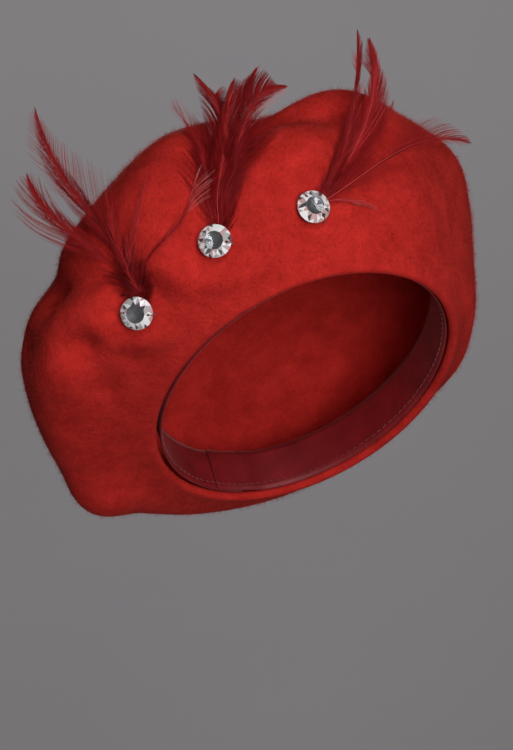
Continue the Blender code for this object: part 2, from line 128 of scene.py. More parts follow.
# Feathers of each stone: tip from the stone (x, y, z), heading of the tip (x, y, z), height over
# the felt
FEATHERS = (
    (
        (-54, 4, 66, -0.15, 0.1, 1.0, 3.0),
        (-50, 5, 98, -0.1, 0.1, 1.0, 1.7),
        (-16, 0, 57, -0.5, 0.2, 0.8, 4.3),
        (8, 0, 57, 0.1, 0.2, 0.9, 3.0),
        (25, -4, 59, 0.5, 0.2, 0.8, 1.7),
    ),
    (
        (-21, 30, 67, -0.6, 0.3, 0.7, 3.6),
        (-12, 36, 84, -0.8, 0.2, 0.5, 1.8),
        (7, 26, 79, 0.2, 0.2, 0.9, 4.8),
        (19, 37, 87, 0.5, 0.1, 0.8, 1.8),
        (34, 30, 77, 0.9, 0.2, -0.1, 3.6),
    ),
    (
        (23, 28, 89, -0.05, 0.1, 1.0, 3.0),
        (29, 36, 86, -0.35, 0.1, 1.0, 1.7),
        (41, 36, 56, 0.2, 0.4, 0.9, 4.3),
        (78, 26, 34, 1.0, 0.2, -0.5, 3.0),
        (28, 10, 1, 0.9, 0.4, -0.3, 1.7),
    ),
)


def unit(vector):
    """The same direction with length 1."""
    vector = np.asarray(vector, float)
    length = np.linalg.norm(vector, axis=-1, keepdims=True)
    return vector / np.maximum(length, 1e-12)


def smoothstep(value):
    value = np.clip(value, 0, 1)
    return value * value * (3 - 2 * value)


def opening_frame():
    """Right, front and up directions of the head opening."""
    up = unit(CROWN_UP)
    right = np.array((math.cos(HEAD_TURN), math.sin(HEAD_TURN), 0.0))
    right = unit(right - right @ up * up)
    return right, np.cross(right, up), up


def spline_weights(along, count, degree=3):
    """Weights of a clamped uniform B-spline, one row for each place."""
    inner = np.linspace(0, 1, count - degree + 1)
    knots = np.concatenate([np.zeros(degree), inner, np.ones(degree)])
    place = np.clip(np.asarray(along, float), 0, 1 - 1e-9)[:, None]
    weights = ((place >= knots[:-1]) & (place < knots[1:])).astype(float)
    for order in range(1, degree + 1):
        size = weights.shape[1] - 1
        left = knots[order:order + size] - knots[:size]
        right = knots[order + 1:order + 1 + size] - knots[1:1 + size]
        rising = (place - knots[:size]) / np.where(left > 0, left, 1) * (left > 0)
        falling = (knots[order + 1:order + 1 + size] - place) / np.where(right > 0, right, 1)
        falling = falling * (right > 0)
        weights = rising * weights[:, :size] + falling * weights[:, 1:size + 1]
    return weights


def smooth_shape(azimuth, along):
    """The hat before folds: azimuth and place arrays of one shape give points."""
    right, front, up = opening_frame()
    weights = spline_weights(np.ravel(along), len(SECTIONS))
    mix = weights @ np.array(SECTIONS, float)
    angle = np.ravel(azimuth)
    side, ahead = np.sin(angle), np.cos(angle)
    x = mix[:, 0] + mix[:, 3] * side
    y = mix[:, 1] + mix[:, 4] * ahead
    z = mix[:, 2] + mix[:, 5] * side + mix[:, 6] * ahead
    points = x[:, None] * right + y[:, None] * front + z[:, None] * up
    return points.reshape(np.shape(azimuth) + (3,))


def normals_of(shape, azimuth, along):
    """Outward normals of a surface function, taken short of the crown's middle point."""
    step = 0.004
    low = np.clip(along - step, 0, 0.985)
    high = np.clip(along + step, low + step, 0.995)
    held = np.minimum(along, 0.99)
    around = shape(azimuth + step, held) - shape(azimuth - step, held)
    upward = shape(azimuth, high) - shape(azimuth, low)
    return unit(np.cross(around, upward))


def spot(azimuth_degrees, place):
    """One point of the smooth hat."""
    return smooth_shape(np.array([math.radians(azimuth_degrees)]), np.array([float(place)]))[0]


def distance_to_segment(points, start, end):
    line = end - start
    share = np.clip((points - start) @ line / max(line @ line, 1e-9), 0, 1)
    return np.linalg.norm(points - start - share[..., None] * line, axis=-1)


def folded_shape(azimuth, along):
    """The hat with its swells and folds."""
    points = smooth_shape(azimuth, along)
    normals = normals_of(smooth_shape, azimuth, along)
    shift = np.zeros(points.shape[:-1])
    for angle, place, radius, height in SWELLS:
        away = np.linalg.norm(points - spot(angle, place), axis=-1)
        shift += height * np.exp(-(away / radius) ** 2)
    for from_angle, from_place, to_angle, to_place, half_width, depth in FOLDS:
        start, end = spot(from_angle, from_place), spot(to_angle, to_place)
        away = distance_to_segment(points, start, end)
        shift -= depth * np.exp(-(away / half_width) ** 2)
    hold = np.clip(np.asarray(along, float) / EDGE_HOLD, 0, 1) ** 2
    return points + normals * (shift * hold)[..., None]


def find_seats():
    """Middle of each stone's seat on the felt, with its hole, quill and outward axes."""
    found = []
    for angle, place, turn, tip, roll in STONES:
        middle = folded_shape(np.array([math.radians(angle)]), np.array([place]))[0]
        turn, tip, roll = (math.radians(value) for value in (turn, tip, roll))
        outward = np.array(
            (math.sin(turn) * math.cos(tip), -math.cos(turn) * math.cos(tip), math.sin(tip))
        )
        level = np.array((math.cos(turn), math.sin(turn), 0.0))
        rise = np.cross(outward, level)
        holes = level * math.cos(roll) + rise * math.sin(roll)
        quills = np.cross(outward, holes)
        axes = np.stack([holes, quills, outward], axis=1)
        found.append((middle - outward * SEAT_DEPTH, axes))
    return found


SEATS = find_seats()


def seat_blend(points, middle):
    """1 on a stone's seat, falling to 0 where the felt is free."""
    away = np.linalg.norm(points - middle, axis=-1)
    return smoothstep((SEAT_BLEND - away) / (SEAT_BLEND - SEAT_FLAT))


def felt_shape(azimuth, along):
    """Outside of the felt, drawn in flat under each stone."""
    points = folded_shape(azimuth, along)
    for middle, axes in SEATS:
        normal = axes[:, 2]
        height = (points - middle) @ normal
        points = points - normal * (height * seat_blend(points, middle))[..., None]
    return points


def sample_felt(azimuth, along):
    azimuth, along = np.meshgrid(azimuth, along)
    return felt_shape(azimuth, along), normals_of(felt_shape, azimuth, along)


# ---- lines ----


def even_angles(count):
    """A full turn in even steps."""
    return np.linspace(0, 2 * math.pi, count, endpoint=False)


def step_lengths(path):
    return np.linalg.norm(np.diff(path, axis=0), axis=1)


def travel_along(path):
    """Distance from the start of a line to each of its points."""
    return np.concatenate([[0], np.cumsum(step_lengths(path))])


def look_up(wanted, places, rows):
    """Points read between the rows of a table by their place."""
    return np.stack([np.interp(wanted, places, column) for column in rows.T], axis=-1)


def resampled(path, step):
    """The same line with even steps."""
    travel = travel_along(path)
    count = max(4, int(travel[-1] / step))
    return look_up(np.linspace(0, travel[-1], count), travel, path)


def rounded_corners(corners, radius, steps):
    """Closed line with each corner turned into a small arc."""
    path = []
    for index, corner in enumerate(corners):
        before = corner + unit(corners[index - 1] - corner) * radius
        after = corner + unit(corners[(index + 1) % len(corners)] - corner) * radius
        for share in np.linspace(0, 1, steps):
            path.append(
                (1 - share) ** 2 * before + 2 * share * (1 - share) * corner + share ** 2 * after
            )
    return np.array(path)


def bezier(points, count):
    share = np.linspace(0, 1, count)[:, None]
    a, b, c, d = points
    back = 1 - share
    return back ** 3 * a + 3 * back ** 2 * share * b + 3 * back * share ** 2 * c + share ** 3 * d


def smoothed_line(path, count):
    """Catmull-Rom line through the stations, and where each new point lies among them."""
    padded = np.concatenate([[2 * path[0] - path[1]], path, [2 * path[-1] - path[-2]]])
    place = np.linspace(0, len(path) - 1 - 1e-6, count)
    first = place.astype(int)
    share = (place - first)[:, None]
    a, b, c, d = (padded[first + step] for step in range(4))
    line = 0.5 * (
        2 * b + (c - a) * share + (2 * a - 5 * b + 4 * c - d) * share ** 2
        + (3 * b - a - 3 * c + d) * share ** 3
    )
    return line, place


# ---- mesh helpers ----


def link_new(name, data):
    """New object in the scene."""
    made = bpy.data.objects.new(name, data)
    bpy.context.scene.collection.objects.link(made)
    return made


def new_object(name, points, faces, surface, smooth=True, recalculate=False):
    """One mesh piece from millimetre points."""
    mesh = bpy.data.meshes.new(name)
    mesh.from_pydata((np.asarray(points, float) * MM).tolist(), [], faces)
    if recalculate:
        shell = bmesh.new()
        shell.from_mesh(mesh)
        bmesh.ops.recalc_face_normals(shell, faces=shell.faces)
        shell.to_mesh(mesh)
        shell.free()
    mesh.polygons.foreach_set("use_smooth", [smooth] * len(mesh.polygons))
    mesh.materials.append(surface)
    return link_new(name, mesh)


def write_values(piece, name, domain, values):
    """One number for each point or face of a piece, for its material to read."""
    piece.data.attributes.new(name, "FLOAT", domain).data.foreach_set("value", values)


def finish_piece(piece, slot, *nodes):
    """Rides on the hat and stands for its CAD nodes; slot is not used."""
    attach(piece, "root")
    if nodes:
        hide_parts(*nodes)
    return piece


SLANT = (0.31, 0.17, 0.93)    # a direction that no piece runs along


def grid_faces(rows, columns, wrap_rows=False):
    """Quads of a grid whose columns close on themselves."""
    row = np.arange(rows if wrap_rows else rows - 1)[:, None]
    column = np.arange(columns)[None, :]
    following = (column + 1) % columns
    below, above = row * columns, (row + 1) % rows * columns
    corners = [below + column, below + following, above + following, above + column]
    return np.stack(corners, axis=-1).reshape(-1, 4).tolist()


def end_faces(rows, columns):
    """One face over each end of such a grid."""
    return [list(range(columns))[::-1], list(range((rows - 1) * columns, rows * columns))]


def shut_faces(rows, columns):
    """The same grid with both ends shut."""
    return grid_faces(rows, columns) + end_faces(rows, columns)


def tube_rings(path, radii, sides):
    """Rings round a path that turn with it and don't twist."""
    path = np.asarray(path, float)
    tangents = unit(np.gradient(path, axis=0))
    walk = [unit(np.cross(tangents[0], SLANT))]
    for tangent in tangents[1:]:
        walk.append(unit(walk[-1] - walk[-1] @ tangent * tangent))
    across = np.array(walk)
    other = np.cross(tangents, across)
    angles = even_angles(sides)
    radii = np.broadcast_to(np.asarray(radii, float), len(path))
    return path[:, None] + radii[:, None, None] * (
        np.cos(angles)[None, :, None] * across[:, None]
        + np.sin(angles)[None, :, None] * other[:, None]
    )


class Batch:
    """Collects many small closed shapes into one mesh."""

    def __init__(self):
        self.points = []
        self.faces = []
        self.tones = []
        self.count = 0

    def add_many(self, points, faces, tones):
        """points is (shapes, corners, 3), all with the same faces."""
        shapes, corners = points.shape[:2]
        flat = [list(face) for face in faces]
        starts = self.count + np.arange(shapes) * corners
        for size in sorted({len(face) for face in flat}):
            some = np.array([face for face in flat if len(face) == size])
            self.faces += (starts[:, None, None] + some[None]).reshape(-1, size).tolist()
        self.points.append(points.reshape(-1, 3))
        self.tones.append(np.ravel(tones))
        self.count += shapes * corners

    def add_tube(self, path, radii, sides, closed=False, tones=0.0):
        """One tone, or one for each ring."""
        rings = tube_rings(path, radii, sides)
        rows = len(rings)
        faces = grid_faces(rows, sides, True) if closed else shut_faces(rows, sides)
        self.points.append(rings.reshape(-1, 3))
        self.faces += [[self.count + index for index in face] for face in faces]
        self.tones.append(np.repeat(np.broadcast_to(tones, rows), sides))
        self.count += rows * sides

    def build(self, name, surface, smooth=True):
        piece = new_object(name, np.concatenate(self.points), self.faces, surface, smooth)
        write_values(piece, "tone", "POINT", np.concatenate(self.tones))
        return piece


# ---- materials ----


class Surface:
    """A Principled material with small helpers for its nodes."""

    def __init__(self, name, **values):
        self.material = bpy.data.materials.new(name)
        self.material.use_nodes = True
        self.nodes = self.material.node_tree.nodes
        self.links = self.material.node_tree.links
        self.shader = self.nodes["Principled BSDF"]
        self.place = self.nodes.new("ShaderNodeTexCoord").outputs["Object"]
        for socket, value in values.items():
            self.shader.inputs[socket.replace("_", " ")].default_value = value

    def stretched(self, scale, rotation):
        mapping = self.nodes.new("ShaderNodeMapping")
        mapping.inputs["Scale"].default_value = scale
        mapping.inputs["Rotation"].default_value = rotation
        self.links.new(self.place, mapping.inputs["Vector"])
        return mapping.outputs["Vector"]

    def noise(self, scale, detail=3.0, roughness=0.55, distortion=0.0, vector=None):
        made = self.nodes.new("ShaderNodeTexNoise")
        made.inputs["Scale"].default_value = scale
        made.inputs["Detail"].default_value = detail
        made.inputs["Roughness"].default_value = roughness
        made.inputs["Distortion"].default_value = distortion
        self.links.new(vector or self.place, made.inputs["Vector"])
        return made.outputs["Fac"]

    def ramp(self, value, *stops):
        made = self.nodes.new("ShaderNodeValToRGB")
        band = made.color_ramp
        while len(band.elements) < len(stops):
            band.elements.new(0.5)
        for element, (position, colour) in zip(band.elements, stops):
            element.position = position
            element.color = (*colour, 1.0)
        self.links.new(value, made.inputs["Fac"])
        return made.outputs["Color"]

    def attribute(self, name):
        made = self.nodes.new("ShaderNodeAttribute")
        made.attribute_name = name
        return made.outputs["Fac"]

    def multiply(self, colour, other):
        made = self.nodes.new("ShaderNodeMix")
        made.data_type = "RGBA"
        made.blend_type = "MULTIPLY"
        made.inputs["Factor"].default_value = 1.0
        colours = [socket for socket in made.inputs if socket.type == "RGBA"]
        self.links.new(colour, colours[0])
        self.links.new(other, colours[1])
        return [socket for socket in made.outputs if socket.type == "RGBA"][0]

    def centred(self, value, share):
        """A noise brought down to lie round 0, times a share."""
        return self.math("MULTIPLY", self.math("SUBTRACT", value, 0.5), share)

    def math(self, kind, first, second):
        made = self.nodes.new("ShaderNodeMath")
        made.operation = kind
        for value, socket in ((first, made.inputs[0]), (second, made.inputs[1])):
            if isinstance(value, (int, float)):
                socket.default_value = value
            else:
                self.links.new(value, socket)
        return made.outputs["Value"]

    def colour(self, value):
        self.links.new(value, self.shader.inputs["Base Color"])

    def roughness(self, value):
        self.links.new(value, self.shader.inputs["Roughness"])

    def bump(self, height, distance, strength=1.0):
        made = self.nodes.new("ShaderNodeBump")
        made.inputs["Strength"].default_value = strength
        made.inputs["Distance"].default_value = distance
        self.links.new(height, made.inputs["Height"])
        before = self.shader.inputs["Normal"]
        if before.is_linked:
            self.links.new(before.links[0].from_socket, made.inputs["Normal"])
        self.links.new(made.outputs["Normal"], before)


def felt_surface(name, dark=(0.400, 0.0150, 0.0115), light=(0.600, 0.0270, 0.0210)):
    felt = Surface(
        name,
        Roughness=0.92,
        Specular_IOR_Level=0.08,
        Sheen_Weight=0.04,
        Sheen_Roughness=0.5,
        Sheen_Tint=(1.0, 0.17, 0.13, 1.0),
    )
    broad = felt.noise(75, 5, 0.62, 0.4)
    mottle = felt.ramp(broad, (0.28, dark), (0.70, light))
    grain = felt.noise(620, 4, 0.7, 0.8)
    shade = felt.ramp(grain, (0.30, (0.76, 0.74, 0.74)), (0.72, (1.0, 1.0, 1.0)))
    felt.colour(felt.multiply(mottle, shade))
    fibres = felt.noise(900, 3, 0.65, 1.6, felt.stretched((1.0, 0.35, 0.45), (0.5, 0.3, 0.9)))
    crossed = felt.noise(760, 3, 0.65, 1.6, felt.stretched((0.35, 1.0, 0.6), (1.1, 0.2, 0.4)))
    felt.bump(felt.noise(170, 4, 0.6, 0.5), 0.0011, 0.55)
    felt.bump(felt.math("ADD", fibres, crossed), 0.00050, 0.85)
    return felt.material


def feather_surface(name):
    feather = Surface(
        name,
        Roughness=0.5,
        Specular_IOR_Level=0.12,
        Sheen_Weight=0.03,
        Sheen_Roughness=0.4,
        Sheen_Tint=(1.0, 0.25, 0.25, 1.0),
    )
    tone = feather.attribute("tone")
    blotch = feather.centred(feather.noise(240, 2, 0.5), 0.14)
    mixed = feather.math("ADD", tone, blotch)
    feather.colour(
        feather.ramp(
            mixed,
            (0.0, (0.075, 0.0018, 0.0026)),
            (0.09, (0.205, 0.0045, 0.0055)),
            (0.3, (0.370, 0.0125, 0.0150)),
            (0.6, (0.540, 0.0580, 0.0620)),
            (1.0, (0.870, 0.4200, 0.3900)),
        )
    )
    feather.bump(feather.noise(1500, 2, 0.6), 0.00012, 0.5)
    return feather.material


def ribbon_surface(name):
    ribbon = Surface(
        name,
        Roughness=0.55,
        Specular_IOR_Level=0.35,
        Sheen_Weight=0.2,
        Sheen_Roughness=0.35,
        Sheen_Tint=(1.0, 0.3, 0.3, 1.0),
    )
    cloudy = ribbon.noise(70, 3, 0.5)
    weave = ribbon.noise(1400, 2, 0.6, 0.5)
    base = ribbon.ramp(cloudy, (0.3, (0.170, 0.0050, 0.0080)), (0.7, (0.260, 0.0090, 0.0120)))
    shade = ribbon.ramp(weave, (0.3, (0.70, 0.70, 0.70)), (0.7, (1.0, 1.0, 1.0)))
    ribbon.colour(ribbon.multiply(base, shade))
    ribbon.bump(weave, 0.00018, 0.6)
    return ribbon.material


def thread_surface(name, base=(0.24, 0.007, 0.009)):
    thread = Surface(name, Roughness=0.6, Specular_IOR_Level=0.3, Sheen_Weight=0.3)
    dark = tuple(value * 0.55 for value in base)
    thread.colour(thread.ramp(thread.noise(2600, 2, 0.6), (0.3, dark), (0.7, base)))
    thread.bump(thread.noise(3500, 2, 0.6), 0.00008, 0.6)
    return thread.material


def crystal_surface(name):
    """Clear glass; the rim facets carry a painted glint, a part-opaque milky silver or rose
    colour.
    """
    crystal = Surface(name, IOR=1.56, Specular_IOR_Level=0.6)
    cloud = crystal.math("MULTIPLY", crystal.noise(900, 1), 0.10)
    tint = crystal.math("ADD", crystal.attribute("tint"), cloud)
    crystal.colour(
        crystal.ramp(
            tint,
            (0.05, (0.960, 0.965, 0.975)),
            (0.30, (0.900, 0.550, 0.540)),
            (0.60, (0.850, 0.780, 0.780)),
            (0.90, (0.980, 0.970, 0.970)),
        )
    )
    crystal.links.new(crystal.attribute("clear"), crystal.shader.inputs["Transmission Weight"])
    crystal.roughness(crystal.math("MULTIPLY", crystal.noise(900, 2, 0.5), 0.012))
    return crystal.material


def foil_surface(name):
    """Mirror backing with painted reflection: a bright painted sparkle under the rim, a dull grey
    painted dark reflection under the table.
    """
    foil = Surface(name, Metallic=1.0)
    tone = foil.attribute("tone")
    shade = foil.math("ADD", tone, foil.centred(foil.noise(700, 1, 0.4), 0.7))
    foil.colour(
        foil.ramp(
            shade,
            (0.10, (0.120, 0.126, 0.140)),
            (0.45, (0.400, 0.400, 0.420)),
            (0.70, (0.900, 0.820, 0.820)),
            (0.90, (0.960, 0.950, 0.950)),
        )
    )
    foil.roughness(foil.math("SUBTRACT", 0.50, foil.math("MULTIPLY", tone, 0.50)))
    return foil.material


# ---- felt ----

FELT_COLUMNS = 400
OUTER_ROWS = 150
INNER_ROWS = 46
LIP_ROWS = 7
LAST_ROW = 0.992              # how near the rows come to the crown's middle
RELIEF = ((42.0, 0.50), (17.0, 0.24), (6.0, 0.10))
RELIEF_FADE = 14.0
SEAT_CALM = 0.92


def relief(points):
    """Soft unevenness of pressed wool, faint on the stones' seats."""
    height = np.zeros(len(points))
    for size, strength in RELIEF:
        scaled = points / size
        height += strength * np.array([noise.noise(Vector(place)) for place in scaled])
    seats = np.max([seat_blend(points, middle) for middle, _ in SEATS], axis=0)
    return height * (1 - SEAT_CALM * seats)


def build_felt(surface):
    """Closed shell: inside, rolled lip and outside in one mesh."""
    outer, normals = sample_felt(even_angles(FELT_COLUMNS), np.linspace(0, LAST_ROW, OUTER_ROWS))
    arc = np.linalg.norm(np.diff(outer, axis=0), axis=-1)
    arc = np.concatenate([np.zeros((1, FELT_COLUMNS)), np.cumsum(arc, axis=0)])
    lift = relief(outer.reshape(-1, 3)).reshape(outer.shape[:2])
    lift *= smoothstep(arc / RELIEF_FADE)
    fade = smoothstep((HEM_DEPTH + HEM_FADE - arc) / HEM_FADE)
    thick = FELT + (HEM - FELT) * fade
    inner = outer - normals * thick[..., None]
    outer = outer + normals * lift[..., None]
    keep = np.linspace(0, OUTER_ROWS - 1, INNER_ROWS).round().astype(int)
    inner = inner[keep]
    along = unit(outer[1] - outer[0])
    across = normals[0]
    lip_middle = outer[0] - across * HEM / 2
    lip = []
    for angle in np.linspace(0, math.pi, LIP_ROWS + 2)[1:-1]:
        reach = across * math.cos(angle) - along * math.sin(angle)
        lip.append(lip_middle + reach * HEM / 2)
    rows = np.concatenate([inner[::-1], np.array(lip)[::-1], outer])
    faces = grid_faces(len(rows), FELT_COLUMNS)
    points = np.concatenate([rows.reshape(-1, 3), [inner[-1].mean(0), outer[-1].mean(0)]])
    last = (len(rows) - 1) * FELT_COLUMNS
    for column in range(FELT_COLUMNS):
        following = (column + 1) % FELT_COLUMNS
        faces.append([following, column, len(points) - 2])
        faces.append([last + column, last + following, len(points) - 1])
    piece = new_object("felt_cap", points, faces, surface)
    return finish_piece(piece, "felt", "felt_body"), outer, normals


def felt_tree(outer):
    """Search tree of the outside, in millimetres."""
    rows, columns = outer.shape[:2]
    corners = [Vector(place) for place in outer.reshape(-1, 3)]
    return BVHTree.FromPolygons(corners, grid_faces(rows, columns))


FIBRE_SIDES = 3
FIBRE_LONG = (1.4, 3.0)       # shortest, and how much longer the longest is
FIBRE_THICK = (0.030, 0.022)  # thinnest radius, and how much thicker the thickest is
FIBRE_STAND = (0.12, 0.84)    # 0 lies flat, 1 stands: the flattest, and the range above it
FIBRE_ROOT = 0.12             # how deep the root is in the felt
NAP_COUNT = 19000
# Zones of the nap: name, random seed, first and last row of the felt's outside
NAP_ZONES = (
    ("felt_nap_low", 11, 2, 60),
    ("felt_nap_middle", 12, 59, 95),
    ("felt_nap_high", 13, 94, None),
)


def build_nap(name, seed, some, facing, surface):
    """Short curved wool fibres standing on a zone of the felt, each running to a point."""
    count = NAP_COUNT
    chance = np.random.default_rng(seed)
    low, high, right = some[:-1], some[1:], np.roll(some, -1, 1)[:-1]
    area = np.linalg.norm(np.cross(high - low, right - low), axis=-1).ravel()
    picked = chance.choice(area.size, count, p=area / area.sum())
    share = chance.random((2, count, 1))
    low, high, right = (part.reshape(-1, 3)[picked] for part in (low, high, right))
    roots = low + (high - low) * share[0] + (right - low) * share[1]
    normal = facing[:-1].reshape(-1, 3)[picked]
    away = unit(np.cross(normal, chance.normal(size=(count, 3))))
    bend = unit(np.cross(normal, away) + 0.5 * chance.normal(size=(count, 3)))
    length = (FIBRE_LONG[0] + FIBRE_LONG[1] * chance.random(count) ** 2.4)[:, None]
    stand = (FIBRE_STAND[0] + FIBRE_STAND[1] * chance.random(count) ** 1.1)[:, None]
    rising = unit(normal * stand + away * (1 - stand))
    middle = roots + rising * length * 0.5
    tips = middle + unit(rising * 0.75 + bend * 0.75) * length * 0.5
    across = unit(np.cross(rising, bend))
    other = unit(np.cross(rising, across))
    radius = (FIBRE_THICK[0] + FIBRE_THICK[1] * chance.random(count))[:, None]
    corners = []
    for station, slim in ((roots - normal * FIBRE_ROOT, 1.0), (middle, 0.85)):
        for turn in range(FIBRE_SIDES):
            angle = turn * 2 * math.pi / FIBRE_SIDES
            reach = across * math.cos(angle) + other * math.sin(angle)
            corners.append(station + reach * radius * slim)
    points = np.stack(corners + [tips], axis=1)
    faces = grid_faces(2, FIBRE_SIDES) + [list(range(FIBRE_SIDES))[::-1]]
    for turn in range(FIBRE_SIDES):
        following = (turn + 1) % FIBRE_SIDES
        faces.append([FIBRE_SIDES + turn, FIBRE_SIDES + following, 2 * FIBRE_SIDES])
    batch = Batch()
    batch.add_many(points, faces, np.zeros(points.shape[:2]))
    return finish_piece(batch.build(name, surface), "felt")


# ---- sweatband ----

RIB_PITCH = 1.4
RIB_STEPS = 4
RIB_HIGH = 0.11
SELVEDGE_WIDE = 1.6
SELVEDGE_HIGH = 0.10
BAND_ROWS = 9
BAND_STEPS = 2000             # steps in which its length is measured
BAND_START = math.pi
BAND_TURN = 2 * math.pi
LAP_RUN = 0.16                # radians in which the ribbon steps inside
LAP_LEAD = 0.20               # radians before the full turn where that begins


def lap_tuck(angles):
    """How far the far end of the ribbon steps inside its beginning."""
    return LAP_STEP * smoothstep((angles - (BAND_START + BAND_TURN - LAP_LEAD)) / LAP_RUN)


def band_angles(count):
    """Round the opening from its back and a little further, for the lap."""
    return np.linspace(BAND_START, BAND_START + BAND_TURN + BAND_LAP, count)


def opening_line(angles, inset):
    """Line round the opening, so far inside the felt's edge."""
    right, front, _ = opening_frame()
    sideways = (SECTIONS[0][3] - inset) * np.sin(angles)
    ahead = (SECTIONS[0][4] - inset) * np.cos(angles)
    return sideways[:, None] * right + ahead[:, None] * front


def band_line(angles, inset):
    """Line round the ribbon, so far in from its outside."""
    return opening_line(angles, HEM + GAP + inset + lap_tuck(angles))


def band_length():
    return step_lengths(band_line(band_angles(BAND_STEPS), 0)).sum()


def build_sweatband(surface):
    """Grosgrain ribbon with cross ribs and firm edges, lapped at the back."""
    up = opening_frame()[2]
    ribs = int(band_length() / RIB_PITCH)
    angles = band_angles(ribs * RIB_STEPS + 1)
    wave = 0.5 - 0.5 * np.cos(np.arange(len(angles)) * 2 * math.pi / RIB_STEPS)
    heights = np.linspace(0, BAND_WIDTH, BAND_ROWS)
    edge = np.minimum(heights, BAND_WIDTH - heights)
    flat = smoothstep(edge / SELVEDGE_WIDE)
    upward = list(range(BAND_ROWS))
    rings = []
    for inset, sign, rows in ((0.0, 1, upward), (BAND_THICK, -1, upward[::-1])):
        for row in rows:
            rib = RIB_HIGH * wave * flat[row] + SELVEDGE_HIGH * (1 - flat[row])
            line = band_line(angles, inset + sign * rib)
            rings.append(line + up * (BAND_RISE + heights[row]))
    rings = np.stack(rings, axis=1)
    size = rings.shape[:2]
    faces = grid_faces(*size) + [face[::-1] for face in end_faces(*size)]
    piece = new_object("grosgrain_band", rings.reshape(-1, 3), faces, surface, recalculate=True)
    return finish_piece(piece, "ribbon", "sweatband_ribbon")


STITCH_PITCH = 4.2
STITCH_SHARE = 0.62
STITCH_STEPS = 7
STITCH_R = 0.26
STITCH_ARCH = 0.35
STITCH_OFF = 0.20             # how far its ends are inside the ribbon
STITCH_RISE = 3.0             # over the foot of the ribbon
STITCH_LAP = 0.42             # radians from the lap where the stitches begin to step inside


def build_band_stitches(surface):
    """Running stitches near the foot of the ribbon."""
    rise = opening_frame()[2] * (BAND_RISE + STITCH_RISE)
    count = int(band_length() / STITCH_PITCH)
    arch = np.sin(np.linspace(0, math.pi, STITCH_STEPS)) * STITCH_ARCH
    batch = Batch()
    for stitch in range(count):
        centre = BAND_START + BAND_TURN * (stitch + 0.5) / count
        half = math.pi / count * STITCH_SHARE
        angles = centre + np.linspace(-half, half, STITCH_STEPS)
        from_lap = min(centre - BAND_START, BAND_START + BAND_TURN - centre)
        tuck = LAP_STEP * np.clip((STITCH_LAP - from_lap) / LAP_RUN, 0, 1)
        line = opening_line(angles, HEM + GAP + BAND_THICK + STITCH_OFF + tuck + arch)
        batch.add_tube(line + rise, STITCH_R, 6)
    piece = batch.build("band_stitches", surface)
    return finish_piece(piece, "thread", "sweatband_seam")


# ---- stones ----

FACETS = 12
TABLE_R = 4.5
STAR_R = 6.3
BACK_R = 4.1
CULET_R = 1.2
STONE_TABLE_HIGH = STONE_LOW + 4.4
STONE_STAR_HIGH = STONE_LOW + 3.15
STONE_EDGE_TOP = STONE_LOW + 1.75
STONE_EDGE_LOW = STONE_LOW + 1.25
STONE_BACK_HIGH = STONE_LOW + 0.55
STONE_CULET = STONE_LOW + 0.08


def ring_points(radius, high, sides, turn=0.0):
    """Level circle of points; turn is a share of one side."""
    angles = (np.arange(sides) + turn) * 2 * math.pi / sides
    level = np.full(sides, float(high))
    return np.stack([radius * np.cos(angles), radius * np.sin(angles), level], axis=1)


def to_world(seat, points):
    """From a stone's own axes to the hat's."""
    middle, axes = seat
    return middle + np.asarray(points, float) @ axes.T


HOLE_SIDES = 14


def cut_holes(piece, seat, low, high):
    """The two thread holes through a stone or its foil, applied at once."""
    batch = Batch()
    for out in (-HOLE_OUT, HOLE_OUT):
        batch.add_tube(to_world(seat, [(out, 0, low), (out, 0, high)]), HOLE_R, HOLE_SIDES)
    cutter = batch.build(piece.name + "_cutter", piece.data.materials[0], smooth=False)
    cut = piece.modifiers.new("holes", "BOOLEAN")
    cut.operation = "DIFFERENCE"
    cut.solver = "EXACT"
    cut.object = cutter
    bpy.context.view_layer.update()
    evaluated = piece.evaluated_get(bpy.context.evaluated_depsgraph_get())
    mesh = bpy.data.meshes.new_from_object(evaluated)
    piece.modifiers.clear()
    piece.data = mesh
    bpy.data.objects.remove(cutter, do_unlink=True)


def hull_object(name, points, surface):
    """Faceted convex solid."""
    shell = bmesh.new()
    for place in points * MM:
        shell.verts.new(place)
    bmesh.ops.convex_hull(shell, input=shell.verts)
    flat = math.radians(0.6)
    bmesh.ops.dissolve_limit(shell, angle_limit=flat, verts=shell.verts, edges=shell.edges)
    bmesh.ops.recalc_face_normals(shell, faces=shell.faces)
    mesh = bpy.data.meshes.new(name)
    shell.to_mesh(mesh)
    shell.free()
    mesh.materials.append(surface)
    return link_new(name, mesh)


def build_crystal(number, seat, surface):
    """Round cut: table, star and kite facets, thin girdle, shallow faceted back, two holes."""
    parts = [
        ring_points(TABLE_R, STONE_TABLE_HIGH, FACETS),
        ring_points(STAR_R, STONE_STAR_HIGH, FACETS, 0.5),
        ring_points(STONE_R, STONE_EDGE_TOP, 2 * FACETS),
        ring_points(STONE_R, STONE_EDGE_LOW, 2 * FACETS),
        ring_points(BACK_R, STONE_BACK_HIGH, FACETS, 0.5),
        ring_points(CULET_R, STONE_CULET, FACETS),
    ]
    piece = hull_object(f"cut_crystal_{number}", to_world(seat, np.concatenate(parts)), surface)
    cut_holes(piece, seat, STONE_LOW - 3, STONE_TABLE_HIGH + 3)
    colour_facets(piece, seat, np.random.default_rng(40 + number))
    return finish_piece(piece, "crystal", f"crystal_{number}")


# Kinds of painted glint on the rim facets: share of facets, clearness, tint
PAINTED_GLINTS = ((0.40, 0.20, 0.95), (0.22, 0.45, 0.25), (0.20, 0.55, 0.60), (0.18, 0.95, 0.0))
CLEAR_GLASS = 0.97
RIM_LEAN = (0.3, 0.93)        # how much a rim facet faces outward, lowest and highest
RIM_FROM = 4.4


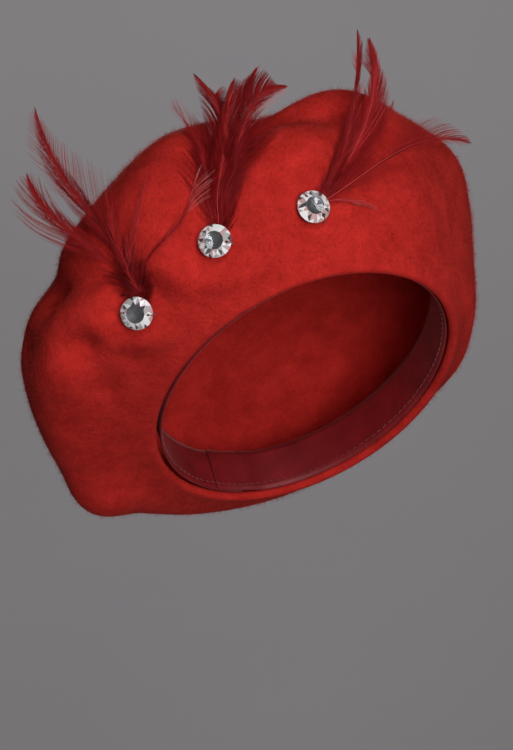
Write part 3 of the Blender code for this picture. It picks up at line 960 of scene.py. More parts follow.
def colour_facets(piece, seat, chance):
    """Clear table and back, mixed painted glints on the facets round the rim."""
    middle, axes = seat
    shares = [kind[0] for kind in PAINTED_GLINTS]
    clear, tint = [], []
    for facet in piece.data.polygons:
        centre = (np.array(facet.center) / MM - middle) @ axes
        lean = np.array(facet.normal) @ axes[:, 2]
        rim = RIM_LEAN[0] < lean < RIM_LEAN[1] and math.hypot(centre[0], centre[1]) > RIM_FROM
        kind = PAINTED_GLINTS[chance.choice(len(PAINTED_GLINTS), p=shares)]
        clear.append(kind[1] if rim else CLEAR_GLASS)
        tint.append(kind[2] if rim else 0.0)
    write_values(piece, "clear", "FACE", clear)
    write_values(piece, "tint", "FACE", tint)


FOIL_SHRINK = 0.90
FOIL_DROP = 0.10
FOIL_PAINTED_REFLECTION = ((1.5, 4.0, 5.5, 8.0), (0.20, 0.35, 0.75, 0.85))    # radii and their painted brightness: dark painted reflection under the table, bright painted sparkle under the rim


def build_foil(number, seat, surface):
    """Mirror backing: its upper side follows the stone's back."""
    profile = (
        (STONE_R, FOIL_LOW),
        (STONE_R, STONE_EDGE_LOW - FOIL_DROP),
        (BACK_R, STONE_BACK_HIGH - FOIL_DROP),
        (CULET_R, STONE_CULET - FOIL_DROP),
    )
    sides = 2 * FACETS
    rings = [ring_points(radius * FOIL_SHRINK, high, sides) for radius, high in profile]
    points = to_world(seat, np.concatenate(rings))
    faces = shut_faces(len(rings), sides)
    name = f"mirror_foil_{number}"
    piece = new_object(name, points, faces, surface, smooth=False, recalculate=True)
    cut_holes(piece, seat, FOIL_LOW - 2, STONE_EDGE_TOP + 2)
    middle, axes = seat
    corners = np.array([corner.co[:] for corner in piece.data.vertices]) / MM - middle
    away = np.linalg.norm(corners - (corners @ axes[:, 2])[:, None] * axes[:, 2], axis=1)
    # Painted reflection: dark under the table, bright towards the rim.
    write_values(piece, "tone", "POINT", np.interp(away, *FOIL_PAINTED_REFLECTION))
    return finish_piece(piece, "foil", f"crystal_foil_{number}")


PLY_PITCH = 1.5
PLY_STEPS = 7
PLY_APART = 0.48
PLY_THICK = 0.60


def add_thread(batch, path):
    """Two plies wound round each other along a line."""
    path = resampled(path, PLY_PITCH / PLY_STEPS)
    rings = tube_rings(path, THREAD_R * 0.5, 2)
    turns = 2 * math.pi * travel_along(path) / PLY_PITCH
    across = unit(rings[:, 0] - path)
    other = unit(np.cross(np.gradient(path, axis=0), across))
    for phase in (0, math.pi):
        offset = across * np.cos(turns + phase)[:, None] + other * np.sin(turns + phase)[:, None]
        batch.add_tube(path + offset * THREAD_R * PLY_APART, THREAD_R * PLY_THICK, 6)


STITCH_UNDER = -FELT - 2 * GAP - PATCH_THICK - THREAD_R
# One half of a stitch, from under the felt round the stone's edge and down its hole: out, high
STITCH_STOPS = (
    (NEEDLE_OUT, STITCH_UNDER),
    (NEEDLE_OUT - 0.3, 0.4),
    (STONE_R + 0.36, STONE_EDGE_LOW - 0.4),
    (STONE_R + 0.34, STONE_EDGE_TOP + 0.25),
    (HOLE_OUT + 0.55, STONE_STAR_HIGH + 0.72),
    (HOLE_OUT, STONE_STAR_HIGH + 0.1),
    (HOLE_OUT, STITCH_UNDER),
)
STITCH_BEND = 0.45
TIE_APART = 0.35
TIE_SAG = 0.2
TIE_POINTS = 12


def build_stitch(number, seat, surface):
    """Thread down each hole and back over the edge, tied on the inside."""
    batch = Batch()
    for side in (-1, 1):
        arm = np.array([(side * out, 0, high) for out, high in STITCH_STOPS])
        open_line = rounded_corners(arm, STITCH_BEND, 3)[2:-3]
        add_thread(batch, to_world(seat, open_line))
    for offset in (-TIE_APART, 0.0, TIE_APART):
        ends = [(side * NEEDLE_OUT, offset * 0.6, STITCH_UNDER) for side in (-1, 1)]
        line = np.linspace(*ends, TIE_POINTS)
        line[:, 2] -= TIE_SAG * np.sin(np.linspace(0, math.pi, TIE_POINTS)) + abs(offset)
        add_thread(batch, to_world(seat, line))
    piece = batch.build(f"stone_stitch_{number}", surface)
    return finish_piece(piece, "thread", f"stitch_thread_{number}")


# Section of a backing patch: share of its radius and of its thickness
PATCH_SECTION = (
    (0.55, 0.0), (0.93, 0.02), (0.985, 0.2), (1.0, 0.5), (0.985, 0.8), (0.93, 0.98), (0.55, 1.0),
)
PATCH_SIDES = 72
PATCH_WAVES = 5
PATCH_WAVE_HIGH = 0.006


def build_patch(number, seat, surface):
    """Felt disc inside the hat that backs the stone, with soft, slightly wavy edges."""
    top = -FELT - GAP
    angles = np.arange(PATCH_SIDES) * 2 * math.pi * PATCH_WAVES / PATCH_SIDES
    wobble = 1 + PATCH_WAVE_HIGH * np.sin(angles)
    rings = []
    for share, deep in PATCH_SECTION:
        ring = ring_points(PATCH_R * share, top - PATCH_THICK * deep, PATCH_SIDES)
        ring[:, :2] *= wobble[:, None]
        rings.append(ring)
    points = to_world(seat, np.concatenate(rings))
    faces = shut_faces(len(rings), PATCH_SIDES)
    piece = new_object(f"patch_disc_{number}", points, faces, surface, recalculate=True)
    return finish_piece(piece, "patch", f"backing_patch_{number}")


COLLAR_SIDES = 32


def build_collar(number, seat, surface):
    """Thread wound side by side round the quills."""
    half_high = QUILL_R + QUILL_ROOM + COLLAR_WALL / 2
    half_straight = (len(FEATHERS[number - 1]) - 1) / 2 * QUILL_PITCH
    turns = np.arange(0.2, COLLAR_LONG - 0.1, COLLAR_WALL * 1.05)
    batch = Batch()
    angles = even_angles(COLLAR_SIDES)
    across = np.sign(np.cos(angles)) * half_straight + half_high * np.cos(angles)
    high = QUILL_HIGH + half_high * np.sin(angles)
    for forward in turns:
        loop = np.stack([across, np.full(COLLAR_SIDES, COLLAR_FROM + forward), high], axis=1)
        batch.add_tube(to_world(seat, loop), COLLAR_WALL / 2, 6, closed=True)
    piece = batch.build(f"wound_collar_{number}", surface)
    return finish_piece(piece, "collar", f"feather_collar_{number}")


# ---- feathers ----

HELD_STATIONS = 3             # under the stone, where the collar holds the quill straight
FREE_STATIONS = 16
LEAVE_OUT = 1.5               # past the stone's edge, where the quills come free
RISE_SHARE = 0.14             # of the free length, where a quill lifts off the felt
GUIDE_COLUMNS = 180           # points of the felt that the quills keep clear of
GUIDE_ROWS = 80
GUIDE_LAST = 0.99
LEAVE_PULL = 0.30             # pull of the curve's two ends, as shares of its reach
TIP_PULL = 0.36
LIFT_ROUNDS = 6
SMOOTH_ROUNDS = 4
FREE_FROM = HELD_STATIONS + 1  # first station that is smoothed


def feather_path(seat, index, row, felt_points, felt_normals):
    """Middle line of one feather and the felt's outward direction along it."""
    middle, axes = seat
    tip = middle + np.array(row[:3], float)
    heading = unit(row[3:6])
    across = (index - 2) * QUILL_PITCH
    base = middle + axes @ np.array((across, -QUILL_BACK, QUILL_HIGH))
    leave = middle + axes @ np.array((across, STONE_R + LEAVE_OUT, QUILL_HIGH))
    reach = np.linalg.norm(tip - leave)
    start = unit(axes[:, 1] + unit(tip - leave))
    pulls = (leave, leave + start * reach * LEAVE_PULL, tip - heading * reach * TIP_PULL, tip)
    free = bezier(pulls, FREE_STATIONS)
    path = np.concatenate([np.linspace(base, leave, HELD_STATIONS + 1)[:-1], free])
    rise = row[6] * np.clip(np.linspace(0, 1, FREE_STATIONS) / RISE_SHARE, 0, 1)
    wanted = np.concatenate([np.zeros(HELD_STATIONS), rise])
    for _ in range(LIFT_ROUNDS):
        nearest = np.linalg.norm(path[:, None] - felt_points[None], axis=-1).argmin(1)
        normal = felt_normals[nearest]
        height = np.einsum("ij,ij->i", path - felt_points[nearest], normal)
        need = np.clip(wanted - height, 0, None)
        need[:HELD_STATIONS] = 0
        path = path + normal * need[:, None]
        smoothed = path[FREE_FROM - 1:-2] + 2 * path[FREE_FROM:-1] + path[FREE_FROM + 1:]
        path[FREE_FROM:-1] = smoothed / 4
    outward = felt_normals[nearest]
    outward[:FREE_FROM + 1] = axes[:, 2]
    for _ in range(SMOOTH_ROUNDS):
        outward[1:-1] = unit(outward[:-2] + 2 * outward[1:-1] + outward[2:])
    return path, outward


# Layers of barbs of each feather: side (-1 left of the quill seen from outside, 1 right, 0 left
# and then right), where they begin and end along the quill, count, splay at each end (degrees),
# bend (radians), raggedness, tone, and the outline they end on as (travel, half width) stops
# Outlines of the dark down at the feathers' roots: real down, whose dark tone in its layers is
# also painted shade above each stone.
DOWN_AND_SHADE = ((0.0, 8.5), (1.0, 8.5))
THIN_DOWN_AND_SHADE = ((0.0, 6.0), (1.0, 6.0))
BARBS = {
    "1_a": (
        (-1, 0.38, 0.99, 240, 16, 13, -0.05, 0.5, 0.12,
         ((0.38, 2.0), (0.6, 5.0), (0.8, 4.2), (0.9, 2.4), (1.0, 0.1))),
        (1, 0.38, 0.99, 240, 16, 13, -0.05, 0.5, 0.12,
         ((0.38, 2.0), (0.6, 5.0), (0.8, 4.0), (0.9, 2.2), (1.0, 0.1))),
        (-1, 0.34, 0.95, 66, 24, 22, -0.1, 0.16, 0.16,
         ((0.5, 17.0), (0.66, 19.0), (0.74, 18.4), (0.8, 16.6), (0.87, 14.4), (0.93, 11.0),
          (0.99, 6.0), (1.0, 3.0))),
        (1, 0.45, 0.97, 34, 18, 14, -0.05, 0.2, 0.1,
         ((0.5, 3.0), (0.6, 3.6), (0.73, 5.8), (0.85, 6.9), (0.97, 5.6), (1.01, 1.5))),
        (0, 0.04, 0.26, 70, 32, 24, 0.1, 0.45, 0.0, DOWN_AND_SHADE),
    ),
    "1_b": (
        (-1, 0.34, 0.985, 270, 18, 15, -0.05, 0.5, 0.08,
         ((0.34, 2.0), (0.55, 7.2), (0.65, 6.4), (0.73, 6.8), (0.86, 5.0), (0.95, 2.2),
          (1.0, 0.1))),
        (1, 0.34, 0.99, 240, 16, 12, -0.05, 0.5, 0.08,
         ((0.34, 1.5), (0.56, 4.2), (0.69, 3.6), (0.82, 1.8), (0.92, 0.9), (1.0, 0.1))),
        (-1, 0.52, 0.96, 52, 22, 18, 0.1, 0.16, 0.16,
         ((0.5, 9.0), (0.79, 9.4), (0.85, 11.4), (0.89, 10.4), (0.95, 6.0), (1.0, 1.5))),
        (1, 0.3, 0.92, 80, 36, 22, -0.06, 0.1, 0.16,
         ((0.4, 17.0), (0.58, 18.0), (0.63, 18.6), (0.68, 16.0), (0.75, 12.4), (0.82, 8.4),
          (0.88, 5.0), (0.95, 2.0), (1.0, 0.2))),
        (0, 0.04, 0.22, 70, 32, 24, 0.1, 0.45, 0.0, DOWN_AND_SHADE),
    ),
    "1_c": (
        (0, 0.14, 1.0, 46, 15, 13, 0.0, 0.7, 0.36, ((0.14, 1.0), (0.6, 4.0), (1.0, 0.4))),
        (0, 0.04, 0.36, 80, 32, 24, 0.1, 0.5, 0.0, DOWN_AND_SHADE),
    ),
    "1_d": (
        (0, 0.14, 1.0, 56, 14, 12, 0.0, 0.6, 0.4, ((0.14, 1.0), (0.6, 3.6), (1.0, 0.4))),
        (0, 0.04, 0.34, 80, 32, 24, 0.1, 0.5, 0.0, DOWN_AND_SHADE),
    ),
    "1_e": (
        (0, 0.14, 0.92, 40, 14, 12, 0.0, 0.7, 0.34, ((0.14, 0.9), (0.6, 3.0), (0.95, 0.6))),
        (-1, 0.8, 1.0, 6, 8, 4, -0.1, 0.3, 0.8, ((0.6, 2.6), (0.9, 2.2), (1.16, 1.4))),
        (1, 0.76, 1.0, 14, 25, 17, 0.2, 0.3, 0.8, ((0.6, 6.0), (0.9, 10.0), (1.18, 9.0))),
        (0, 0.04, 0.3, 50, 26, 20, 0.1, 0.5, 0.02, THIN_DOWN_AND_SHADE),
    ),
    "2_a": (
        (0, 0.12, 0.9, 130, 16, 13, 0.0, 0.6, 0.1,
         ((0.12, 1.5), (0.4, 5.0), (0.6, 4.2), (0.9, 0.8))),
        (-1, 0.55, 1.0, 14, 14, 9, 0.15, 0.4, 0.32, ((0.6, 5.0), (0.9, 5.0), (1.04, 2.0))),
        (1, 0.45, 1.0, 20, 17, 9, 0.0, 0.4, 0.28, ((0.6, 6.0), (0.9, 6.0), (1.1, 3.0))),
        (-1, 0.08, 0.62, 130, 28, 26, 0.0, 0.6, 0.2, ((0.1, 6.0), (0.35, 15.0), (0.7, 17.0))),
        (1, 0.06, 0.5, 50, 28, 20, 0.1, 0.5, 0.12, DOWN_AND_SHADE),
    ),
    "2_b": (
        (-1, 0.12, 0.985, 380, 17, 13, -0.03, 0.22, 0.04,
         ((0.12, 2.0), (0.3, 7.0), (0.5, 9.0), (0.69, 8.2), (0.78, 8.2), (0.86, 6.9), (0.94, 3.7),
          (1.0, 0.1))),
        (1, 0.12, 0.99, 360, 18, 12, -0.03, 0.2, 0.04,
         ((0.12, 2.0), (0.3, 6.5), (0.5, 7.0), (0.7, 4.8), (0.76, 3.6), (0.82, 3.2), (0.85, 2.0),
          (0.89, 0.6), (1.0, 0.1))),
        (1, 0.735, 0.812, 120, 18, 14, 0.78, 0.04, 0.02, ((0.7, 6.0), (0.84, 7.6), (0.9, 5.0))),
        (-1, 0.45, 0.93, 26, 17, 15, 0.05, 0.2, 0.6,
         ((0.5, 9.6), (0.78, 9.0), (0.86, 7.6), (0.94, 4.6), (1.0, 1.0))),
        (-1, 0.1, 0.6, 240, 26, 24, 0.0, 0.5, 0.1,
         ((0.1, 9.0), (0.35, 18.0), (0.6, 20.0), (0.8, 14.0))),
        (1, 0.06, 0.4, 60, 30, 22, 0.1, 0.35, 0.0, DOWN_AND_SHADE),
    ),
    "2_c": (
        (-1, 0.12, 0.99, 380, 18, 14, -0.1, 0.2, 0.05,
         ((0.12, 2.2), (0.3, 7.0), (0.5, 8.0), (0.7, 5.2), (0.87, 2.7), (0.91, 2.1), (0.96, 1.2),
          (1.0, 0.1))),
        (1, 0.12, 0.99, 380, 18, 15, -0.1, 0.2, 0.06,
         ((0.12, 2.2), (0.3, 7.0), (0.5, 8.0), (0.85, 8.2), (0.93, 7.4), (0.98, 5.6), (1.01, 3.0),
          (1.02, 0.6))),
        (1, 0.5, 0.92, 30, 18, 14, 0.0, 0.35, 0.62,
         ((0.5, 8.0), (0.85, 7.6), (0.97, 3.0), (1.0, 0.5))),
    ),
    "2_d": (
        (-1, 0.12, 0.99, 400, 21, 17, -0.15, 0.15, 0.04,
         ((0.12, 2.2), (0.3, 7.0), (0.5, 8.5), (0.8, 9.6), (0.87, 8.6), (0.89, 7.2), (0.905, 5.4),
          (0.925, 3.2), (0.95, 1.6), (1.0, 0.2))),
        (1, 0.12, 0.99, 360, 16, 12, -0.05, 0.3, 0.07,
         ((0.12, 2.2), (0.3, 7.0), (0.5, 8.0), (0.75, 6.4), (0.85, 4.8), (0.92, 2.8), (1.0, 0.2))),
        (-1, 0.6, 0.86, 30, 21, 18, -0.1, 0.35, 0.62,
         ((0.6, 9.0), (0.86, 8.0), (0.9, 4.0), (1.0, 0.5))),
        (1, 0.6, 0.97, 26, 15, 8, 0.02, 0.2, 0.5,
         ((0.6, 8.0), (0.85, 6.5), (0.95, 3.6), (1.02, 1.0))),
    ),
    "2_e": (
        (-1, 0.12, 0.7, 220, 20, 38, 0.0, 0.3, 0.05,
         ((0.12, 2.0), (0.3, 6.5), (0.5, 8.0), (0.7, 8.5), (0.8, 9.0), (0.9, 10.0))),
        (-1, 0.7, 0.985, 460, 40, 28, -0.04, 0.06, 0.04,
         ((0.6, 6.0), (0.8, 9.4), (0.88, 11.4), (0.915, 11.2), (0.92, 8.6), (0.928, 4.8),
          (0.94, 2.0), (1.0, 0.1))),
        (1, 0.12, 0.99, 360, 18, 13, -0.03, 0.3, 0.06,
         ((0.12, 2.0), (0.3, 7.0), (0.5, 9.5), (0.65, 8.0), (0.77, 5.6), (0.9, 3.2), (1.0, 0.2))),
        (1, 0.1, 0.56, 280, 26, 26, 0.0, 0.5, 0.08,
         ((0.1, 9.0), (0.3, 17.0), (0.55, 20.0), (0.8, 14.0))),
        (1, 0.52, 0.98, 46, 21, 14, 0.05, 0.25, 0.62,
         ((0.5, 9.0), (0.77, 8.0), (0.9, 7.0), (0.97, 4.4), (1.0, 2.0))),
        (1, 0.06, 0.44, 60, 30, 22, 0.1, 0.35, 0.0, DOWN_AND_SHADE),
        (-1, 0.06, 0.4, 50, 30, 22, 0.1, 0.35, 0.0, DOWN_AND_SHADE),
    ),
    "3_a": (
        (-1, 0.12, 0.99, 320, 15, 11, 0.0, 0.35, 0.08,
         ((0.12, 1.6), (0.4, 4.2), (0.57, 4.2), (0.69, 1.8), (0.74, 0.9), (0.8, 0.4), (0.95, 0.3),
          (1.0, 0.1))),
        (1, 0.12, 0.99, 340, 14, 10, 0.0, 0.2, 0.06,
         ((0.12, 1.6), (0.4, 4.2), (0.6, 3.6), (0.69, 2.8), (0.75, 2.4), (0.83, 2.2), (0.88, 2.9),
          (0.94, 2.8), (1.0, 0.1))),
        (-1, 0.8, 0.87, 12, 26, 24, 0.2, 0.3, 0.3, ((0.6, 3.4), (1.0, 3.4))),
        (1, 0.3, 0.66, 26, 16, 14, 0.0, 0.3, 0.45, ((0.3, 5.0), (0.8, 4.4))),
        (0, 0.06, 0.4, 40, 26, 20, 0.1, 0.4, 0.05, THIN_DOWN_AND_SHADE),
    ),
    "3_b": (
        (1, 0.12, 0.99, 460, 15, 9, -0.02, 0.1, 0.18,
         ((0.12, 2.0), (0.3, 4.5), (0.5, 6.8), (0.69, 8.8), (0.77, 7.4), (0.83, 5.0), (0.88, 2.6),
          (0.95, 2.2), (1.0, 0.3))),
        (-1, 0.12, 0.84, 320, 15, 13, 0.0, 0.2, 0.18,
         ((0.12, 2.0), (0.3, 5.2), (0.55, 6.4), (0.67, 5.0), (0.76, 4.2), (0.82, 2.2),
          (0.88, 0.5))),
        (-1, 0.8, 0.985, 120, 30, 14, 0.05, 0.1, 0.04,
         ((0.8, 4.0), (0.86, 6.4), (0.895, 6.4), (0.93, 4.0), (0.96, 2.4), (1.0, 0.7))),
        (1, 0.36, 0.84, 70, 13, 8, 0.0, 0.12, 0.5,
         ((0.4, 8.0), (0.69, 10.0), (0.77, 8.6), (0.83, 6.8), (0.88, 3.6), (0.96, 2.6))),
        (1, 0.06, 0.42, 40, 26, 20, 0.1, 0.4, 0.04, THIN_DOWN_AND_SHADE),
        (-1, 0.06, 0.42, 40, 26, 20, 0.1, 0.4, 0.04, THIN_DOWN_AND_SHADE),
    ),
    "3_c": (
        (-1, 0.14, 0.97, 110, 15, 12, 0.0, 0.7, 0.22, ((0.14, 1.2), (0.6, 5.0), (1.0, 0.6))),
        (1, 0.14, 0.97, 110, 15, 12, 0.0, 0.7, 0.22, ((0.14, 1.2), (0.6, 4.6), (1.0, 0.6))),
        (1, 0.6, 0.98, 12, 20, 14, 0.1, 0.4, 0.3, ((0.6, 6.0), (0.9, 4.0), (1.0, 0.5))),
    ),
    "3_d": (
        (-1, 0.3, 1.0, 130, 14, 12, 0.0, 0.4, 0.06,
         ((0.3, 0.5), (0.6, 1.4), (0.85, 1.6), (1.0, 0.2))),
        (1, 0.3, 1.0, 130, 14, 12, 0.0, 0.4, 0.06,
         ((0.3, 0.5), (0.6, 1.2), (0.85, 1.3), (1.0, 0.2))),
        (-1, 0.54, 0.96, 80, 44, 26, -0.22, 0.12, 0.16,
         ((0.6, 5.0), (0.7, 7.4), (0.77, 10.8), (0.83, 10.8), (0.89, 7.2), (0.94, 4.4),
          (1.0, 0.8))),
        (1, 0.58, 0.97, 30, 20, 14, 0.0, 0.25, 0.15,
         ((0.6, 2.6), (0.88, 3.0), (0.95, 2.8), (1.01, 0.6))),
        (0, 0.1, 0.5, 40, 26, 20, 0.1, 0.4, 0.2, THIN_DOWN_AND_SHADE),
    ),
    "3_e": (
        (0, 0.25, 1.0, 24, 12, 10, 0.0, 0.5, 0.46, ((0.25, 0.8), (0.7, 1.3), (1.0, 0.2))),
        (0, 0.5, 1.0, 8, 9, 6, 0.0, 0.3, 0.62, ((0.4, 2.0), (1.1, 1.2))),
    ),
}
# Shade of the quills that are not dark
QUILLS = {"1_c": 0.34, "1_d": 0.38, "2_c": 0.5, "3_d": 0.58, "3_e": 0.52}
DARK_QUILL = -0.08


PATH_POINTS = 90
FORWARD = np.array((0.0, -1.0, 0.12))    # the way that vanes face once free of the felt
TURN_START = 0.30             # share of the quill where the vane starts to turn forward
TURN_RUN = 0.35
TURN_SHARE = 0.9


class Vane:
    """One feather's middle line with its side and face directions, looked up by travel."""

    def __init__(self, path, outward):
        self.line, among = smoothed_line(path, PATH_POINTS)
        self.travel = np.linspace(0, 1, PATH_POINTS)
        turn = TURN_SHARE * smoothstep((self.travel - TURN_START) / TURN_RUN)[:, None]
        facing = look_up(among, np.arange(len(path)), outward)
        facing = unit(facing * (1 - turn) + FORWARD * turn)
        self.tangent = unit(np.gradient(self.line, axis=0))
        self.side = unit(np.cross(self.tangent, facing))
        self.face = np.cross(self.side, self.tangent)
        self.length = step_lengths(self.line).sum()

    def at(self, field, travel):
        return look_up(travel, self.travel, field)

    def place(self, travel, sideways, out):
        """Points at a travel along the quill, so far to its side and out of the vane."""
        beyond = np.maximum(travel - 1, 0)[..., None] * self.length
        return (
            self.at(self.line, travel)
            + self.at(self.tangent, travel) * beyond
            + self.at(self.side, travel) * sideways[..., None]
            + self.at(self.face, travel) * out[..., None]
        )


CLEAR_OF_FELT = 0.55
FELT_NEAR = 14.0              # points further from the felt than this are left alone


def lay_clear(points, tree):
    """Push points out of the felt to a small height over it."""
    flat = points.reshape(-1, 3)
    for index, place in enumerate(flat):
        near, normal, _, away = tree.find_nearest(Vector(place))
        if away > FELT_NEAR:
            continue
        height = (Vector(place) - near).dot(normal)
        if height < CLEAR_OF_FELT:
            flat[index] = place + np.array(normal) * (CLEAR_OF_FELT - height)
    return flat.reshape(points.shape)


BARB_STATIONS = 6
BARB_SHARE = np.linspace(0, 1, BARB_STATIONS)[None]
BARB_SLIM = np.array((1.0, 0.95, 0.82, 0.66, 0.45, 0.14))
BARB_FLAT = 0.45              # thickness of a barb as a share of its width
BARB_SHORTEST = 0.5
BARB_LONGEST = 46.0
BARB_TRIALS = 93
DENSE = 100                   # barbs from which a layer counts as dense
DENSE_WIDTH = 0.058
LOOSE_WIDTH = 0.085
WIDTH_SPREAD = 0.020
DENSE_CLUMP = 18
LOOSE_CLUMP = 4
CURL = 0.10                   # how far barbs curl out of the vane, as a share of their length
CURL_MEAN = 0.3
CURL_SPREAD = 0.6
CURL_LONGEST = 12.0
PALE_FROM = 0.62              # travel where a dense vane grows paler with painted light (its glow against the backdrop), and where it stops
PALE_TO = 0.88
PALE_RUN = 0.25
PALE_END_RUN = 0.06
PALE_LOST = 0.8
TONE_LEAST = 0.05
PAINTED_GLOW_TONE = 0.08
TONE_UNEVEN = 0.025


def clumped(chance, count, size):
    """The same random number for neighbours in a clump."""
    values = chance.normal(size=count // size + 2)
    return values[(np.arange(count) + chance.integers(size)) // size]


def reach_of(outline, root, ending, length):
    """How long a barb grows from its root before it meets the outline."""
    places, widths = zip(*outline)
    trial = np.linspace(BARB_SHORTEST, BARB_LONGEST, BARB_TRIALS)[None]
    travel = root[:, None] + trial * np.cos(ending)[:, None] / length
    width = np.interp(travel, places, widths, right=0.0)
    over = trial * np.sin(ending)[:, None] > width
    grown = trial[0][np.where(over.any(axis=1), over.argmax(axis=1), BARB_TRIALS - 1)]
    return np.minimum(grown, (max(places[-1], 1.0) + 0.01 - root) * length)


def barb_tones(chance, root, clump, tone, dense):
    """Tone along each barb, with painted light: paler in the outer half of a dense vane and less
    so at its tip, as if lit through against the backdrop.
    """
    paler = smoothstep((root - PALE_FROM) / PALE_RUN)
    paler *= 1 - PALE_LOST * smoothstep((root - PALE_TO) / PALE_END_RUN)
    paler = TONE_LEAST + PAINTED_GLOW_TONE * paler[:, None] * BARB_SHARE * dense
    uneven = TONE_UNEVEN * (chance.normal(size=len(root)) + clump)[:, None]
    return paler + tone * (0.7 + 0.5 * BARB_SHARE ** 1.5) + uneven


def add_barbs(batch, chance, vane, tree, sign, layer):
    """Tapered flat barbs that leave the quill on one side and end on the layer's outline."""
    begin, end, count, first_splay, last_splay, bend, ragged, tone, outline = layer
    dense = count >= DENSE
    root = begin + (end - begin) * (np.arange(count) + chance.random(count)) / count
    clump = clumped(chance, count, DENSE_CLUMP if dense else LOOSE_CLUMP)

    def stray(least, most):
        """Random departure of each barb, mostly shared by its clump."""
        return (least + most * ragged) * (clump + 0.8 * chance.normal(size=count))

    along = (root - begin) / (end - begin)
    splay = np.radians(first_splay + (last_splay - first_splay) * along)
    splay *= 1 + stray(0.01, 0.12)
    bends = bend + stray(0.005, 0.06)
    length = reach_of(outline, root, splay + bends, vane.length)
    length *= 1 - ragged * chance.random(count) ** 1.6
    share = BARB_SHARE
    angle = splay[:, None] + bends[:, None] * share
    travel = root[:, None] + length[:, None] * share * np.cos(angle) / vane.length
    sideways = sign * length[:, None] * share * np.sin(angle)
    curl = CURL * share ** 2 * chance.normal(CURL_MEAN, CURL_SPREAD, (count, 1))
    out = curl * np.minimum(length, CURL_LONGEST)[:, None]
    points = lay_clear(vane.place(travel, sideways, out), tree)
    along = unit(np.gradient(points, axis=1))
    across = unit(np.cross(vane.at(vane.face, travel), along))
    lift = np.cross(along, across)
    width = (DENSE_WIDTH if dense else LOOSE_WIDTH) + WIDTH_SPREAD * chance.random(count)
    slim = (width[:, None] * BARB_SLIM[None])[..., None]
    wide, thick = across * slim, lift * slim * BARB_FLAT
    corners = np.stack([points + wide, points + thick, points - wide, points - thick], axis=2)
    corners = corners.reshape(count, BARB_STATIONS * 4, 3)
    tones = np.repeat(barb_tones(chance, root, clump, tone, dense), 4, axis=1)
    batch.add_many(corners, shut_faces(BARB_STATIONS, 4), tones)


QUILL_TIP_R = 0.05
QUILL_SWELL = 0.13            # how much thicker the visible quill is at its foot
QUILL_TONES = ((0, 0.15, 0.5, 0.75, 1.0), (0.8, 1.0, 1.0, 0.5, 0.2))    # travel, share of shade


def build_feather(number, index, path, outward, tree, surface):
    """A tapered quill with its layers of barbs, in one mesh."""
    name = f"{number}_{'abcde'[index]}"
    chance = np.random.default_rng(100 * number + index)
    batch = Batch()
    vane = Vane(path, outward)
    thick = QUILL_SWELL * (1 - vane.travel) ** 0.8 + QUILL_TIP_R
    shade = QUILLS.get(name, DARK_QUILL) * np.interp(vane.travel, *QUILL_TONES)
    batch.add_tube(vane.line, thick, 8, tones=shade)
    for side, *layer in BARBS[name]:
        for sign in (side,) if side else (-1, 1):
            add_barbs(batch, chance, vane, tree, sign, layer)
    piece = batch.build(f"barbed_feather_{name}", surface)
    return finish_piece(piece, "feather", f"feather_{name}")


# ---- studio ----

FLOOR_HIGH = -0.75
COVE_START = 2.2
COVE_RADIUS = 0.9
COVE_TOP = 2.6
COVE_SIDES = 96


def build_studio():
    """Round seamless backdrop whose floor turns up into the wall."""
    rows = [(0.6, 0.0), (1.4, 0.0), (COVE_START, 0.0)]
    for angle in np.linspace(0, math.pi / 2, 14)[1:]:
        out, high = math.sin(angle), 1 - math.cos(angle)
        rows.append((COVE_START + COVE_RADIUS * out, COVE_RADIUS * high))
    rows.append((COVE_START + COVE_RADIUS, COVE_TOP))
    rings = [ring_points(out / MM, (FLOOR_HIGH + high) / MM, COVE_SIDES) for out, high in rows]
    points = np.concatenate([[[0, 0, FLOOR_HIGH / MM]], *rings])
    faces = [[0, 1 + side, 1 + (side + 1) % COVE_SIDES] for side in range(COVE_SIDES)]
    for face in grid_faces(len(rings), COVE_SIDES):
        faces.append([1 + index for index in reversed(face)])
    paper = Surface("studio_paper", Roughness=0.95, Specular_IOR_Level=0.1)
    dark, light = (0.315, 0.300, 0.312), (0.330, 0.315, 0.327)
    paper.colour(paper.ramp(paper.noise(1.3, 2), (0.3, dark), (0.7, light)))
    backdrop = new_object("studio_backdrop", points, faces, paper.material)


HAT_MIDDLE = (-0.02, 0.0, 0.05)
WALL_FOOT = (0.0, 3.1, 0.1)
# Soft round lights: name, place, what it points at, width, watts
LIGHTS = (
    ("key_light", (0.26, -1.15, 0.02), HAT_MIDDLE, 0.55, 9.6),
    ("high_light", (0.14, -1.15, 0.75), HAT_MIDDLE, 0.6, 6.6),
    ("back_light", (0.0, 1.9, 0.62), HAT_MIDDLE, 0.8, 28),
    ("wall_light", (0.0, 1.2, 0.9), WALL_FOOT, 1.4, 22),
)
AIR_COLOUR = (0.36, 0.355, 0.36, 1.0)
AIR_STRENGTH = 0.015


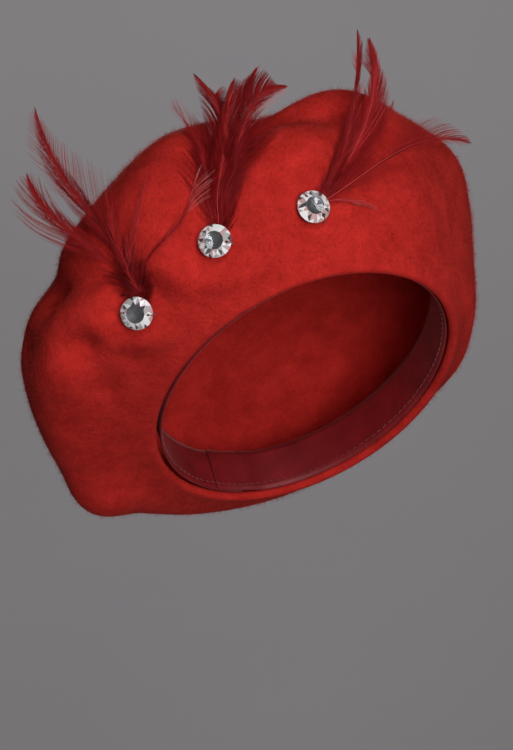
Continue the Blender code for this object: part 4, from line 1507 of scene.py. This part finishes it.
def build_lights():
    for name, place, target, width, watts in LIGHTS:
        lamp = bpy.data.lights.new(name, "AREA")
        lamp.shape = "DISK"
        lamp.size = width
        lamp.energy = watts
        made = link_new(name, lamp)
        made.location = place
        made.visible_camera = False
        aim = Vector(target) - Vector(place)
        made.rotation_euler = aim.to_track_quat("-Z", "Y").to_euler()
    world = bpy.data.worlds.new("studio_air")
    bpy.context.scene.world = world
    world.use_nodes = True
    air = world.node_tree.nodes["Background"]
    air.inputs["Color"].default_value = AIR_COLOUR
    air.inputs["Strength"].default_value = AIR_STRENGTH
    bpy.context.scene.view_settings.view_transform = "Standard"


CAMERA_PLACE = (-0.02435, -1.2, 0.0085)
LENS = 115.2
SENSOR = 36


def build_camera():
    """Level camera straight in front of the hat."""
    lens = bpy.data.cameras.new("camera")
    lens.lens = LENS
    lens.sensor_width = SENSOR
    made = link_new("camera", lens)
    made.location = CAMERA_PLACE
    made.rotation_euler = (math.radians(90), 0, 0)
    bpy.context.scene.camera = made


# ---- assembly ----


def main():
    """Materials, then the pieces from the felt outwards, then the studio."""
    felt = felt_surface("red_felt")
    nap = felt_surface("red_nap", (0.35, 0.014, 0.011), (0.60, 0.040, 0.029))
    ribbon = ribbon_surface("red_grosgrain")
    thread = thread_surface("red_thread")
    winding = thread_surface("collar_thread", (0.18, 0.006, 0.010))
    crystal = crystal_surface("clear_crystal")
    foil = foil_surface("mirror_foil")
    feather = feather_surface("crimson_feather")

    cap, outer, normals = build_felt(felt)
    tree = felt_tree(outer)
    for name, seed, first, last in NAP_ZONES:
        build_nap(name, seed, outer[first:last], normals[first:last], nap)
    band = build_sweatband(ribbon)
    build_band_stitches(thread)

    azimuths, places = even_angles(GUIDE_COLUMNS), np.linspace(0, GUIDE_LAST, GUIDE_ROWS)
    points, facing = sample_felt(azimuths, places)
    felt_points, felt_normals = points.reshape(-1, 3), facing.reshape(-1, 3)
    for number, seat in enumerate(SEATS, start=1):
        build_crystal(number, seat, crystal)
        build_foil(number, seat, foil)
        build_stitch(number, seat, thread)
        build_patch(number, seat, felt)
        build_collar(number, seat, winding)
        for index, row in enumerate(FEATHERS[number - 1]):
            path, outward = feather_path(seat, index, row, felt_points, felt_normals)
            build_feather(number, index, path, outward, tree, feather)

    build_studio()
    build_lights()
    build_camera()


main()
